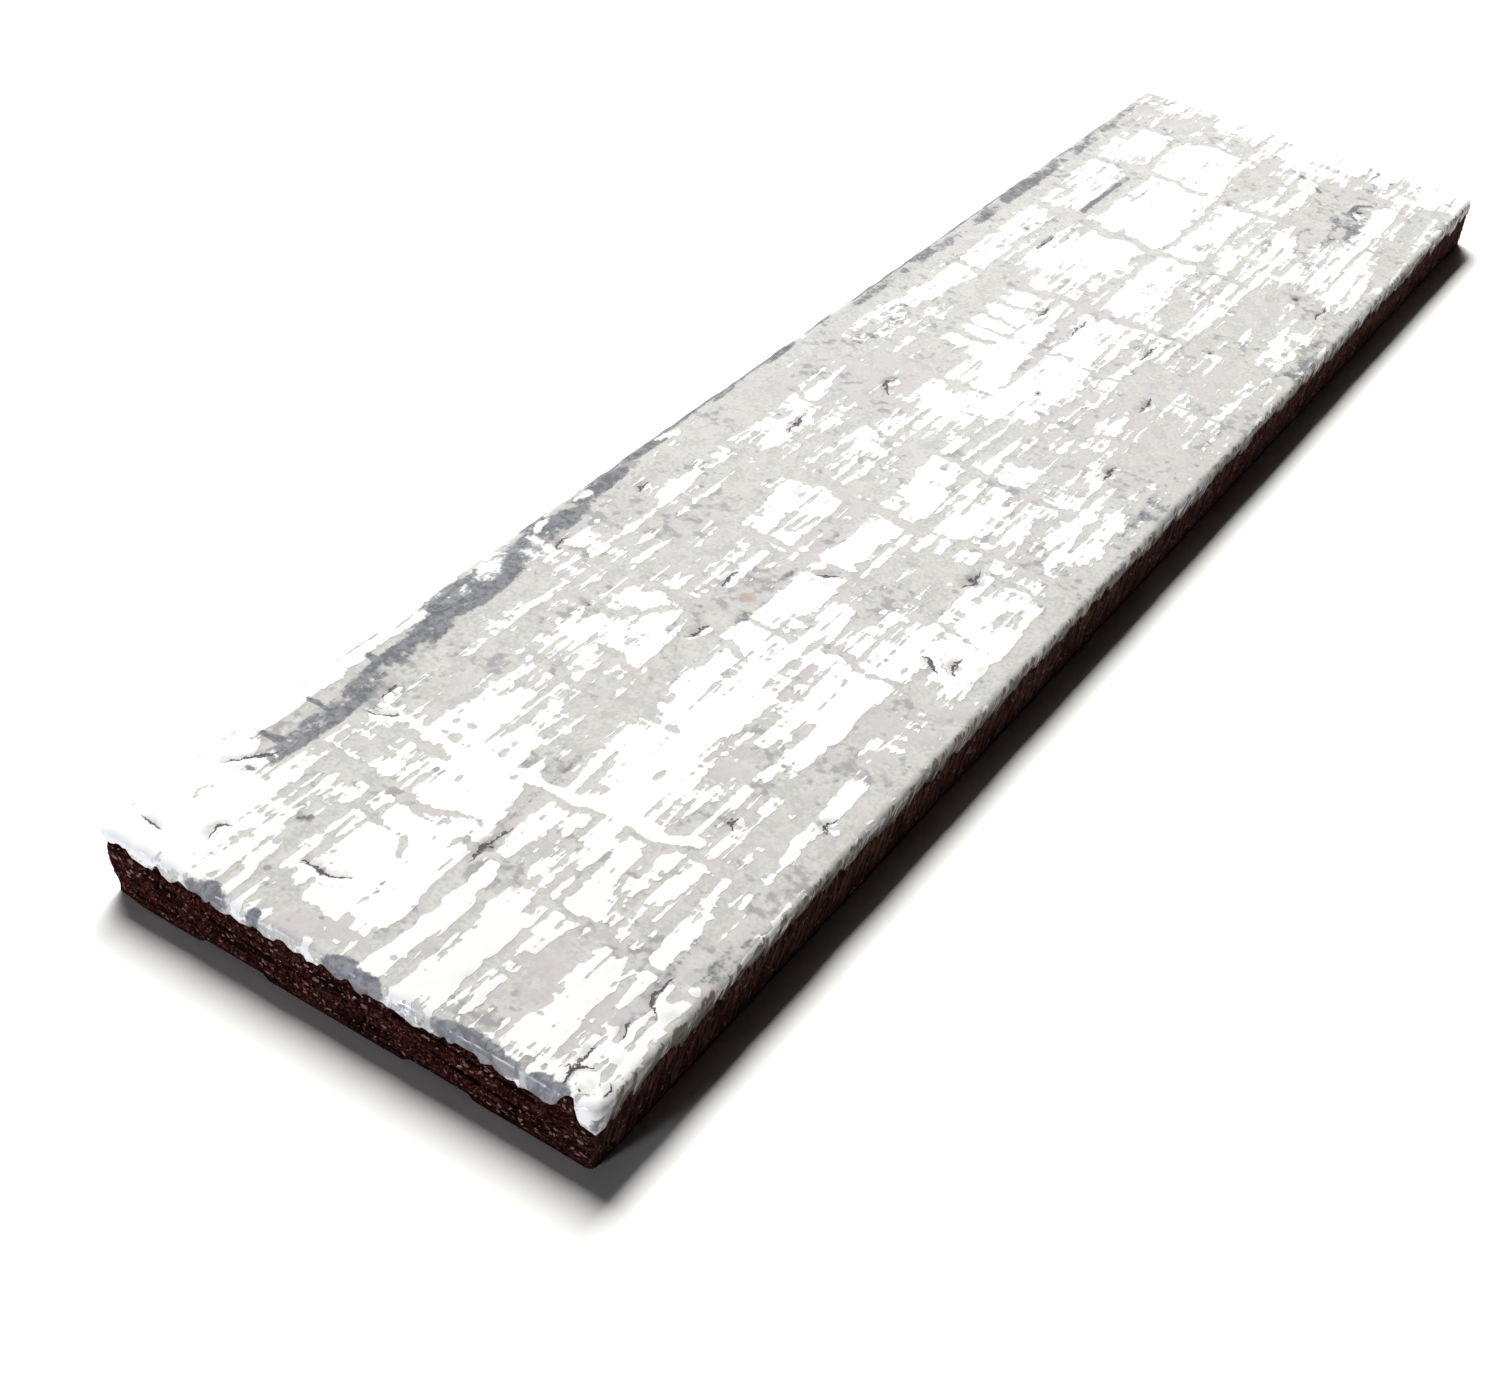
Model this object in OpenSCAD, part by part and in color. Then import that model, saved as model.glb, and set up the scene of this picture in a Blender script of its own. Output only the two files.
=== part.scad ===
// Glazed brick slip, lying on its keyed back with the glazed face up.
// X runs along the length, Y across the width, Z up from the back's lands.
// The origin is the middle of the back.

/* [Slip] */
// Length from end to end, over the glaze
slip_l = 250; // [120:1:400]
// Width over the glaze
slip_w = 60; // [40:1:110]
// Thickness from the back's lands to the glazed face
slip_t = 8; // [6.5:0.1:25]
// Radius of the four corners, seen from above
corner_r = 1.6; // [1.6:0.1:6]

/* [Glazed face] */
// Radius of the rolled arris round the face
arris_r = 0.9; // [0.5:0.1:1.5]
// Depth of the glazed lip down the sides
lip_h = 2.4; // [2.2:0.1:3]
// How far the glazed lip stands out past the clay
lip_out = 0.15; // [0.1:0.05:0.4]

/* [Clay sides] */
// How far the foot of each side is set in from its head
side_draft = 0.2; // [0:0.1:0.6]
// Height of the broken edge along the foot of each side
foot_h = 0.7; // [0.3:0.1:1.5]
// Set-back of that broken edge at the very foot
foot_in = 0.3; // [0.2:0.1:0.5]

/* [Keyed back] */
// Number of keying grooves along the back
groove_count = 2; // [1:1:3]
// Distance from groove to groove
groove_pitch = 25; // [12:0.5:26]
// Width of a groove at its mouth
groove_mouth = 7.6; // [4:0.1:10]
// Depth of a groove
groove_d = 1.4; // [0.5:0.1:2.5]
// How far each wall of a groove is undercut at its root
groove_undercut = 0.45; // [0:0.05:1]

/* [Hidden] */
$fn = 48;

// Radius under the lip, where the glaze turns back in to the clay
lip_r = lip_out;
// Level at which the lip starts
lip_z = slip_t - lip_h;
// Half the size of the glazed face
half_l = slip_l / 2;
half_w = slip_w / 2;
// Run past a face, so that a cut leaves no skin
past = 1;

glaze_white = [0.88, 0.88, 0.88];

// The clay below the lip, from the middle out: upright drafted side over a broken foot.
module clay_profile(reach) {
    head = -lip_out;
    foot = head - side_draft;
    polygon([
        [-reach, 0],
        [foot - foot_in, 0],
        [foot, foot_h],
        [head, lip_z + lip_r],
        [-reach, lip_z + lip_r]
    ]);
}

// The glazed lip: rolled over at the arris, and turned back in under its lower edge.
module lip_profile(reach) {
    translate([-reach, lip_z])
        square([reach - lip_r, lip_h - arris_r]);
    translate([-lip_r, lip_z + lip_r])
        circle(r = lip_r);
    translate([-lip_r, lip_z + lip_r])
        square([lip_r, lip_h - arris_r - lip_r]);
    translate([-reach, slip_t - arris_r])
        square([reach - arris_r, arris_r]);
    intersection() {
        translate([-arris_r, slip_t - arris_r])
            circle(r = arris_r);
        translate([-arris_r, slip_t - arris_r])
            square(arris_r);
    }
}

// Section through one edge, with its outermost point at x = 0.
module edge_profile(reach) {
    clay_profile(reach);
    lip_profile(reach);
}

// Section right across the slip, with the same edge at both sides.
module slip_section(half) {
    translate([half, 0])
        edge_profile(half);
    mirror([1, 0])
        translate([half, 0])
            edge_profile(half);
}

// The pressed slab: one edge profile run along all four sides and round the corners.
module slab() {
    run_l = slip_l - 2 * corner_r;
    run_w = slip_w - 2 * corner_r;
    rotate([90, 0, 90])
        translate([0, 0, -run_l / 2])
            linear_extrude(run_l)
                slip_section(half_w);
    rotate([90, 0, 0])
        translate([0, 0, -run_w / 2])
            linear_extrude(run_w)
                slip_section(half_l);
    for (turn = [0:3]) {
        side_x = (turn == 0 || turn == 3) ? 1 : -1;
        side_y = (turn < 2) ? 1 : -1;
        translate([side_x * run_l / 2, side_y * run_w / 2, 0])
            rotate(90 * turn)
                rotate_extrude(angle = 90)
                    translate([corner_r, 0])
                        edge_profile(corner_r);
    }
}

// One keying groove: a dovetail that runs out through both ends.
module keying_groove() {
    mouth = groove_mouth / 2;
    root = mouth + groove_undercut;
    flare = (root - mouth) * past / groove_d;
    rotate([90, 0, 90])
        translate([0, 0, -half_l - past])
            linear_extrude(slip_l + 2 * past)
                polygon([
                    [-mouth + flare, -past],
                    [mouth - flare, -past],
                    [root, groove_d],
                    [-root, groove_d]
                ]);
}

module brick_slip() {
    first = -(groove_count - 1) / 2 * groove_pitch;
    color(glaze_white)
        difference() {
            slab();
            for (i = [0 : groove_count - 1])
                translate([0, first + i * groove_pitch, 0])
                    keying_groove();
        }
}

brick_slip();
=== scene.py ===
import math

import bpy
import numpy as np
from mathutils import Matrix, Vector


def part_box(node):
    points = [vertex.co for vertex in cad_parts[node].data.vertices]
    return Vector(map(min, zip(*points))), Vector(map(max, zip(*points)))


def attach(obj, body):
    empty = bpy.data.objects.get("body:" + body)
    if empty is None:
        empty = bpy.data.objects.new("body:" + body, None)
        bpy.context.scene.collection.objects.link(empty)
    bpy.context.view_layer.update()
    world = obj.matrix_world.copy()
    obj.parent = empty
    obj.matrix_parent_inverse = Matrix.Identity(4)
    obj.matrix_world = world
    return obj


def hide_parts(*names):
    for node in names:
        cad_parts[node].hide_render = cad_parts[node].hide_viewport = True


# Glazed brick slip: a dragged, pitted, glossy glaze rolled over a dark red fired clay with pale grog.
# Shapes are worked out in millimetres and turned into metres when a mesh is made.

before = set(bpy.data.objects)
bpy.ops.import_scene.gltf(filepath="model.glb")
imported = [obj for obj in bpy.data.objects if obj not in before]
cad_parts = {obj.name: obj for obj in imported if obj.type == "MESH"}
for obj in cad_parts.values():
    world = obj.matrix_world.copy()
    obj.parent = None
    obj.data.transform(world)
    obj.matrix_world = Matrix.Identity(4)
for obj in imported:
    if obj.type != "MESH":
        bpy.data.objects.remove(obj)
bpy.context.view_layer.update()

MM = 0.001
NODE = "brick_slip"

slip_low, slip_high = (np.array(corner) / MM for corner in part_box(NODE))
SLIP_L, SLIP_W, SLIP_T = slip_high - slip_low


# Camera

# The fitted camera's place in metres, its line of sight and its upward direction
EYE = Vector((-0.23774, -0.09808, 0.15806))
LOOK = Vector((0.70266, 0.36469, -0.61096))
HEAD_UP = Vector((0.47371, 0.40092, 0.78413))
LENS_MM = 53.4
SENSOR_MM = 36.0
NEAREST_SEEN = 0.01


def set_camera():
    """The photograph's camera, fitted to the slip's edges."""
    data = bpy.data.cameras.new("photo_camera")
    data.lens = LENS_MM
    data.sensor_width = SENSOR_MM
    data.clip_start = NEAREST_SEEN
    camera = bpy.data.objects.new("photo_camera", data)
    bpy.context.collection.objects.link(camera)
    look = LOOK.normalized()
    right = look.cross(HEAD_UP).normalized()
    up = right.cross(look)
    turn = Matrix((right, up, -look)).transposed()
    camera.matrix_world = Matrix.Translation(EYE) @ turn.to_4x4()
    bpy.context.scene.camera = camera


set_camera()


# Number helpers

def rough(points, size, seed):
    """Smooth random values from -1 to 1 at points, in lumps of that size in mm along each axis."""
    cells = (points - points.min(axis=0)) / np.array(size, float)
    low = np.floor(cells).astype(int)
    part = cells - low
    part = part * part * (3 - 2 * part)
    lattice = np.random.default_rng(seed).uniform(-1, 1, low.max(axis=0) + 2)
    total = np.zeros(len(points))
    for corner in np.ndindex((2,) * points.shape[1]):
        weight = np.where(np.array(corner) == 1, part, 1 - part).prod(axis=1)
        total += weight * lattice[tuple((low + corner).T)]
    return total


def layered(points, layers):
    """Sum of random layers, each given by its strength, its size in mm along each axis and its seed."""
    return sum(strength * rough(points, size, seed) for strength, size, seed in layers)


def eased(value, low, high):
    """0 below low, 1 above high, and a smooth step between."""
    part = np.clip((value - low) / (high - low), 0, 1)
    return part * part * (3 - 2 * part)


def patch(flat, middle_x, middle_y, reach_x, reach_y):
    """1 in the middle of an oval and 0 outside it."""
    away = np.hypot((flat[:, 0] - middle_x) / reach_x, (flat[:, 1] - middle_y) / reach_y)
    return 1 - eased(away, 0.55, 1.15)


def block(flat, low_x, high_x, low_y, high_y, soft):
    """1 inside a rectangle and 0 outside it, with edges that are soft over that many mm."""
    inside = np.minimum(np.minimum(flat[:, 0] - low_x, high_x - flat[:, 0]),
                        np.minimum(flat[:, 1] - low_y, high_y - flat[:, 1]))
    return eased(inside, -soft, soft)


def line_distance(flat, points):
    """Distance from a line through those points, in mm."""
    nearest = np.full(len(flat), np.inf)
    for start, end in zip(points[:-1], points[1:]):
        start, along = np.array(start, float), np.subtract(end, start).astype(float)
        share = np.clip((flat - start) @ along / (along @ along), 0, 1)
        nearest = np.minimum(nearest, np.linalg.norm(flat - start - share[:, None] * along, axis=1))
    return nearest


def side_of_line(flat, points):
    """Signed distance in mm from a line through those points, and the share of the way along it."""
    nearest, side, way = np.full(len(flat), np.inf), np.zeros(len(flat)), np.zeros(len(flat))
    whole = sum(math.dist(*ends) for ends in zip(points[:-1], points[1:]))
    done = 0.0
    for start, end in zip(points[:-1], points[1:]):
        along = np.subtract(end, start).astype(float)
        offset = flat - np.array(start, float)
        share = np.clip(offset @ along / (along @ along), 0, 1)
        gap = np.linalg.norm(offset - share[:, None] * along, axis=1)
        left = np.where(along[0] * offset[:, 1] > along[1] * offset[:, 0], 1.0, -1.0)
        closer = gap < nearest
        nearest = np.where(closer, gap, nearest)
        side = np.where(closer, left * gap, side)
        way = np.where(closer, (done + share * math.dist(start, end)) / whole, way)
        done += math.dist(start, end)
    return side, way


# Sheet of quads over a face, rolled round its rim and closed by one lid

class Shell:
    """A grid over one broad face, with rings of points that carry on over the rim."""

    def __init__(self, inset, columns, rows):
        half = np.array((SLIP_L, SLIP_W)) / 2 - inset
        across = np.linspace(-half[0], half[0], columns + 1)
        up = np.linspace(-half[1], half[1], rows + 1)
        self.inset = inset
        self.number = np.arange((columns + 1) * (rows + 1)).reshape(columns + 1, rows + 1)
        grid = np.stack(np.meshgrid(across, up, indexing="ij"), -1).reshape(-1, 2)
        corner = CORNER_R - inset
        core = np.clip(grid, corner - half, half - corner)
        offset = grid - core
        reach = np.abs(offset).max(axis=1, keepdims=True)
        length = np.linalg.norm(offset, axis=1, keepdims=True)
        outward = offset / np.maximum(length, 1e-9)
        self.grid = core + reach * outward
        self.rim = self.rim_loop()
        self.rim_core = core[self.rim]
        self.rim_out = outward[self.rim]
        self.corner = corner

    def rim_loop(self):
        """Numbers of the grid's edge points, anticlockwise seen from above."""
        number = self.number
        return np.concatenate([number[:-1, 0], number[-1, :-1], number[:0:-1, -1], number[0, :0:-1]])

    def ring(self, out):
        """Places of the rim's points when it is moved out by that many mm."""
        return self.rim_core + (self.corner + np.asarray(out).reshape(-1, 1)) * self.rim_out

    def faces(self, rings, flipped):
        """Quads of the grid and the rings, and the lid."""
        number = self.number
        squares = [number[:-1, :-1], number[1:, :-1], number[1:, 1:], number[:-1, 1:]]
        quads = [np.stack(squares, -1).reshape(-1, 4)]
        inner = self.rim
        for k in range(rings):
            outer = number.size + k * len(self.rim) + np.arange(len(self.rim))
            quads.append(np.stack([outer, np.roll(outer, -1), np.roll(inner, -1), inner], -1))
            inner = outer
        faces = np.concatenate(quads).tolist() + [inner[::-1].tolist()]
        return [face[::-1] for face in faces] if flipped else faces


def make_piece(name, places, faces, attributes, material):
    """A smooth mesh from points in mm, with its attributes and its finish, riding on the slip."""
    mesh = bpy.data.meshes.new(name)
    mesh.from_pydata((places * MM).tolist(), [], faces)
    for key, values in attributes.items():
        kind = "FLOAT_VECTOR" if values.ndim == 2 else "FLOAT"
        layer = mesh.attributes.new(key, kind, "POINT")
        layer.data.foreach_set("vector" if values.ndim == 2 else "value", values.astype(np.float32).ravel())
    mesh.polygons.foreach_set("use_smooth", [True] * len(mesh.polygons))
    mesh.polygons[len(mesh.polygons) - 1].use_smooth = False
    mesh.materials.append(material)
    mesh.validate()
    mesh.update()
    piece = bpy.data.objects.new(name, mesh)
    bpy.context.collection.objects.link(piece)
    return finish_piece(piece)


def finish_piece(piece):
    """Makes the piece ride on the slip's root, and hides the imported slip part."""
    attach(piece, "root")
    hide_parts(NODE)
    return piece


# Node helpers

def fill_inputs(tree, node, inputs):
    """Sets or links the inputs of a node."""
    for name, value in inputs.items():
        if isinstance(value, bpy.types.NodeSocket):
            tree.links.new(value, node.inputs[name])
        else:
            node.inputs[name].default_value = value


def add(tree, kind, inputs=None, **settings):
    """A node of that kind, with its settings made and its inputs set or linked."""
    made = tree.nodes.new(kind)
    for name, value in settings.items():
        setattr(made, name, value)
    fill_inputs(tree, made, inputs or {})
    return made


def calculate(tree, operation, first, second=0.0):
    """Result of one sum on two values."""
    return add(tree, "ShaderNodeMath", {0: first, 1: second}, operation=operation).outputs[0]


def scaled_sum(tree, value, factor, more):
    """A value times a factor, plus another value."""
    return add(tree, "ShaderNodeMath", {0: value, 1: factor, 2: more}, operation="MULTIPLY_ADD").outputs[0]


def stepped(tree, value, low, high, to_low=0.0, to_high=1.0):
    """A value carried smoothly from one span to another."""
    inputs = {"Value": value, "From Min": low, "From Max": high, "To Min": to_low, "To Max": to_high}
    return add(tree, "ShaderNodeMapRange", inputs, interpolation_type="SMOOTHSTEP").outputs[0]


def blend(tree, share, first, second):
    """Two colours mixed by a share."""
    return add(tree, "ShaderNodeMix", {0: share, 6: first, 7: second}, data_type="RGBA").outputs[2]


def blend_part(tree, mask, strength, first, second):
    """Two colours mixed where a mask is, at a strength below 1."""
    return blend(tree, calculate(tree, "MULTIPLY", mask, strength), first, second)


def painted(tree, key):
    """The value that the mesh carries under that name."""
    return add(tree, "ShaderNodeAttribute", attribute_name=key).outputs["Fac"]


def new_group(name, inputs, output):
    """An empty shader group with named sockets: its tree, what it is given and the socket it puts out."""
    tree = bpy.data.node_groups.new(name, "ShaderNodeTree")
    tree.interface.new_socket("Vector", in_out="INPUT", socket_type="NodeSocketVector")
    for key, value in inputs.items():
        socket = tree.interface.new_socket(key, in_out="INPUT", socket_type="NodeSocketFloat")
        socket.default_value = value
    tree.interface.new_socket(output, in_out="OUTPUT", socket_type="NodeSocketFloat")
    return tree, tree.nodes.new("NodeGroupInput").outputs, tree.nodes.new("NodeGroupOutput").inputs[output]


def place_group(tree, group, **inputs):
    """The value that one use of a group puts out, with its own inputs."""
    return add(tree, "ShaderNodeGroup", inputs, node_tree=group).outputs[0]


# Effects that the finishes share

def cloud_group():
    """Soft tone differences, around 0, from two sizes of cloud."""
    tree, given, made = new_group("tone_clouds", {"Scale": 100.0}, "Tone")
    where, scale = given["Vector"], given["Scale"]
    finer = calculate(tree, "MULTIPLY", scale, 5.0)
    broad = add(tree, "ShaderNodeTexNoise", {"Vector": where, "Scale": scale, "Detail": 3.0})
    fine = add(tree, "ShaderNodeTexNoise", {"Vector": where, "Scale": finer, "Detail": 2.0})
    both = calculate(tree, "ADD", broad.outputs["Fac"], fine.outputs["Fac"])
    tree.links.new(calculate(tree, "SUBTRACT", both, 1.0), made)
    return tree


def speck_group():
    """Scattered specks: 1 inside a speck and 0 outside, with a share of the cells left empty."""
    tree, given, made = new_group("specks", {"Scale": 1000.0, "Share": 0.5, "Size": 0.3}, "Mask")
    cells = add(tree, "ShaderNodeTexVoronoi", {"Vector": given["Vector"], "Scale": given["Scale"]})
    tone = add(tree, "ShaderNodeSeparateColor", {"Color": cells.outputs["Color"]}).outputs
    kept = calculate(tree, "LESS_THAN", tone["Red"], given["Share"])
    size = calculate(tree, "MULTIPLY", given["Size"], calculate(tree, "ADD", tone["Green"], 0.4))
    inside = stepped(tree, cells.outputs["Distance"], size, calculate(tree, "MULTIPLY", size, 0.7))
    tree.links.new(calculate(tree, "MULTIPLY", kept, inside), made)
    return tree


def grain_group():
    """Fine surface grain as a height from 0 to 1."""
    tree, given, made = new_group("surface_grain", {"Scale": 1500.0, "Crumble": 0.5}, "Height")
    grain = add(tree, "ShaderNodeTexNoise", {
        "Vector": given["Vector"], "Scale": given["Scale"], "Detail": 5.0, "Roughness": given["Crumble"]})
    tree.links.new(grain.outputs["Fac"], made)
    return tree


def drag_group():
    """Drag marks: a value around 0 that runs in lines along the first axis of the vector."""
    tree, given, made = new_group("drag_marks", {"Scale": 100.0, "Stretch": 12.0}, "Value")
    shrink = calculate(tree, "DIVIDE", 1.0, given["Stretch"])
    scale = add(tree, "ShaderNodeCombineXYZ", {"X": shrink, "Y": 1.0, "Z": 1.0}).outputs[0]
    drawn = add(tree, "ShaderNodeVectorMath", {0: given["Vector"], 1: scale}, operation="MULTIPLY").outputs[0]
    lines = add(tree, "ShaderNodeTexNoise", {
        "Vector": drawn, "Scale": given["Scale"], "Detail": 1.2, "Roughness": 0.5, "Distortion": 0.35})
    tree.links.new(calculate(tree, "SUBTRACT", lines.outputs["Fac"], 0.5), made)
    return tree


CLOUDS = cloud_group()
SPECKS = speck_group()
GRAIN = grain_group()
DRAGS = drag_group()


def new_material(name):
    """A material with a bare Principled shader, and the object coordinates."""
    material = bpy.data.materials.new(name)
    material.use_nodes = True
    tree = material.node_tree
    shader = tree.nodes["Principled BSDF"]
    return material, tree, shader, tree.nodes.new("ShaderNodeTexCoord").outputs["Object"]


def set_bump(tree, shader, height, distance):
    """Fine relief on the shader, with the height of its bumps in metres."""
    bump = add(tree, "ShaderNodeBump", {"Height": height, "Distance": distance})
    tree.links.new(bump.outputs["Normal"], shader.inputs["Normal"])


# Colours of the glaze: on its plates, in the dragged ground, where it is thin, and in its marks. The white of
# the plates over the greyer ground is partly the glaze's own tone and partly a painted reflection of the
# light on the flat plates
# White of the plates: partly the glaze's white, partly a painted reflection
GLAZE_WHITE_AND_REFLECTION = (0.90, 0.90, 0.89, 1)
GLAZE_PALE = (0.64, 0.62, 0.58, 1)
GLAZE_LILAC = (0.57, 0.53, 0.54, 1)
GLAZE_GREY = (0.50, 0.50, 0.485, 1)
GLAZE_SMUDGE = (0.27, 0.265, 0.275, 1)
GLAZE_SLATE = (0.12, 0.125, 0.14, 1)
GLAZE_SLATE_PALE = (0.24, 0.245, 0.26, 1)
GLAZE_THIN = (0.13, 0.092, 0.072, 1)
# BRUISE_AND_SHADOW colours the bruised rims of the pits and also the painted shadow along one side of each
# crack
BRUISE_AND_SHADOW = (0.27, 0.24, 0.26, 1)
BURNT = (0.06, 0.036, 0.045, 1)
STAIN = (0.52, 0.36, 0.24, 1)
# Colours of the clay, of a wash of glaze over it and of the grog in it; the darkest is painted shade for the
# clay's crevices, drag marks, hollows and cracks
CLAY_RED = (0.046, 0.0085, 0.0065, 1)
CLAY_BROWN = (0.036, 0.011, 0.008, 1)
CLAY_RECESS_SHADE = (0.003, 0.001, 0.001, 1)
GLAZE_WASH = (0.24, 0.12, 0.085, 1)
GROG_PALE = (0.26, 0.16, 0.14, 1)
GROG_DARK = (0.14, 0.062, 0.052, 1)

# Share of the painted run, and of the long, short and cross strokes, in what makes a plate
PLATE_RUN = 0.62
LONG_STROKES = 2.3
SHORT_STROKES = 1.1
CROSS_STROKES = 1.0
CROSS_TURN = math.radians(86)
# Slant of the streaks on the lip, and how strongly they break its lower edge
LIP_LEAN = math.radians(58)
LIP_STREAKS = 3.2
# Half width of a crack at its middle, in mm, how far it wanders, how broken it is and how deep the shadow
# painted along one side of it
CRACK_HALF = 0.2
CRACK_WANDER = 1.7
CRACK_GAPS = 2.5
CRACK_SHADE = 0.45
# Roughness of the glaze on a plate and where it is thin, and the height of its fine relief in metres
GLOSS_PLATE = 0.12
GLOSS_THIN = 0.6
GLAZE_IOR = 1.52
GLAZE_BUMP = 0.00005
# Roughness, sheen and fine relief of the clay and of the grog
CLAY_ROUGH = 0.9
CLAY_SHINE = 0.02
CLAY_BUMP = 0.0005
GROG_ROUGH = 0.8
GROG_BUMP = 0.00008


def plate_value(tree, where):
    """Above 0 on the white plates: the broad run that the mesh carries, and the fine strokes drawn in it."""
    turned = add(tree, "ShaderNodeMapping", {"Vector": where, "Rotation": (0, 0, CROSS_TURN)}).outputs[0]
    long_strokes = place_group(tree, DRAGS, Vector=where, Scale=1000.0, Stretch=10.0)
    short_strokes = place_group(tree, DRAGS, Vector=where, Scale=1700.0, Stretch=3.0)
    cross_strokes = place_group(tree, DRAGS, Vector=turned, Scale=950.0, Stretch=5.0)
    value = calculate(tree, "MULTIPLY", painted(tree, "plate"), PLATE_RUN)
    value = scaled_sum(tree, long_strokes, LONG_STROKES, value)
    value = scaled_sum(tree, short_strokes, SHORT_STROKES, value)
    return scaled_sum(tree, cross_strokes, CROSS_STROKES, value)


def ground_colour(tree, where, clouds):
    """The dragged ground between the plates: mottled grey, with broad lilac veils and dark smudges."""
    colour = blend(tree, stepped(tree, clouds, -0.22, 0.18), GLAZE_GREY, GLAZE_PALE)
    veil = place_group(tree, CLOUDS, Vector=where, Scale=75.0)
    colour = blend(tree, stepped(tree, veil, 0.0, 0.22, 0.0, 0.7), colour, GLAZE_LILAC)
    smudge = place_group(tree, CLOUDS, Vector=where, Scale=160.0)
    return blend(tree, stepped(tree, smudge, 0.08, 0.30, 0.0, 0.75), colour, GLAZE_SMUDGE)


def slate_layer(tree, clouds, ragged):
    """Where the glaze is thin and slate-coloured, with ragged edges, and its two tones."""
    mottle = scaled_sum(tree, clouds, 0.9, painted(tree, "slate"))
    mottle = scaled_sum(tree, ragged, 0.8, mottle)
    share = calculate(tree, "MULTIPLY", stepped(tree, mottle, 0.34, 0.78), 0.95)
    return share, blend(tree, stepped(tree, ragged, -0.1, 0.1), GLAZE_SLATE, GLAZE_SLATE_PALE)


def thin_share(tree, where):
    """How far the clay shows through the glaze at its lip, in streaks that slant down the side."""
    leaned = add(tree, "ShaderNodeMapping", {"Vector": where, "Rotation": (0, LIP_LEAN, 0)}).outputs[0]
    streaks = place_group(tree, DRAGS, Vector=leaned, Scale=2000.0, Stretch=6.0)
    soft = painted(tree, "thin")
    broken = stepped(tree, scaled_sum(tree, streaks, LIP_STREAKS, soft), 0.35, 0.75)
    return calculate(tree, "MULTIPLY", broken, stepped(tree, soft, 0.0, 0.7, 0.0, 0.95))


def stain_share(tree, clouds):
    """Strength of the tan stain, uneven as the clouds are."""
    uneven = calculate(tree, "ADD", stepped(tree, clouds, -0.3, 0.2), 0.25)
    stain = calculate(tree, "MULTIPLY", painted(tree, "stain"), uneven)
    return stepped(tree, stain, 0.1, 0.5, 0.0, 0.7)


def crack_marks(tree, ragged):
    """A crack's dark line, tapered to its ends, and a painted shadow along one side of it."""
    side = scaled_sum(tree, ragged, CRACK_WANDER, painted(tree, "crack_side"))
    whole = painted(tree, "crack")
    strength = calculate(tree, "MINIMUM", scaled_sum(tree, ragged, -CRACK_GAPS, whole), whole)
    away = scaled_sum(tree, strength, -CRACK_HALF, calculate(tree, "ABSOLUTE", side))
    line = calculate(tree, "MULTIPLY", stepped(tree, away, 0.04, -0.08), stepped(tree, strength, 0.1, 0.3))
    # Painted shadow: a soft dark band on one side of the crack
    crack_shadow = calculate(tree, "MULTIPLY", stepped(tree, side, -0.1, 0.1), stepped(tree, side, 1.2, 0.1))
    return line, calculate(tree, "MULTIPLY", crack_shadow, calculate(tree, "MULTIPLY", whole, CRACK_SHADE))


def mark_layers(tree, where, ragged):
    """Bruised rims of the pits, the painted shadow along one side of the cracks, their burnt insides, and
    scattered specks.
    """
    pit = scaled_sum(tree, ragged, 0.9, painted(tree, "pit"))
    crack, crack_shadow = crack_marks(tree, ragged)
    bruise_and_shadow = calculate(tree, "MAXIMUM", stepped(tree, pit, 0.3, 0.75, 0.0, 0.6), crack_shadow)
    burnt = calculate(tree, "MAXIMUM", stepped(tree, pit, 0.78, 0.92), crack)
    specks = place_group(tree, SPECKS, Vector=where, Scale=520.0, Share=0.035, Size=0.2)
    return bruise_and_shadow, specks, burnt


def glaze_material():
    """Glossy off-white glaze: white plates over a greyer ground, their white partly a painted reflection,
    thin at the edge, burnt in its pits, with a painted shadow beside its cracks.
    """
    material, tree, shader, where = new_material("glaze")
    clouds = place_group(tree, CLOUDS, Vector=where, Scale=380.0)
    ragged = place_group(tree, GRAIN, Vector=where, Scale=1100.0, Crumble=0.6)
    ragged = calculate(tree, "SUBTRACT", ragged, 0.5)
    plate = stepped(tree, plate_value(tree, where), -0.04, 0.05)
    slate, slate_colour = slate_layer(tree, clouds, ragged)
    bruise_and_shadow, specks, burnt = mark_layers(tree, where, ragged)

    # White of the plates: partly the glaze's tone, partly a painted reflection of the light on the flat
    # plates
    colour = blend(tree, plate, ground_colour(tree, where, clouds), GLAZE_WHITE_AND_REFLECTION)
    colour = blend(tree, slate, colour, slate_colour)
    colour = blend(tree, thin_share(tree, where), colour, GLAZE_THIN)
    colour = blend(tree, stain_share(tree, clouds), colour, STAIN)
    # Bruised pit rims, and the painted shadow along one side of each crack
    colour = blend(tree, bruise_and_shadow, colour, BRUISE_AND_SHADOW)
    colour = blend_part(tree, specks, 0.45, colour, BURNT)
    colour = blend(tree, burnt, colour, BURNT)
    tree.links.new(colour, shader.inputs["Base Color"])

    dull = calculate(tree, "ADD", calculate(tree, "SUBTRACT", 1.0, plate), slate)
    tree.links.new(stepped(tree, dull, 0.0, 2.0, GLOSS_PLATE, GLOSS_THIN), shader.inputs["Roughness"])
    shader.inputs["IOR"].default_value = GLAZE_IOR
    grain = place_group(tree, GRAIN, Vector=where, Scale=900.0, Crumble=0.4)
    height = scaled_sum(tree, grain, 0.9, plate)
    set_bump(tree, shader, scaled_sum(tree, burnt, -2.0, height), GLAZE_BUMP)
    return material


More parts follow.
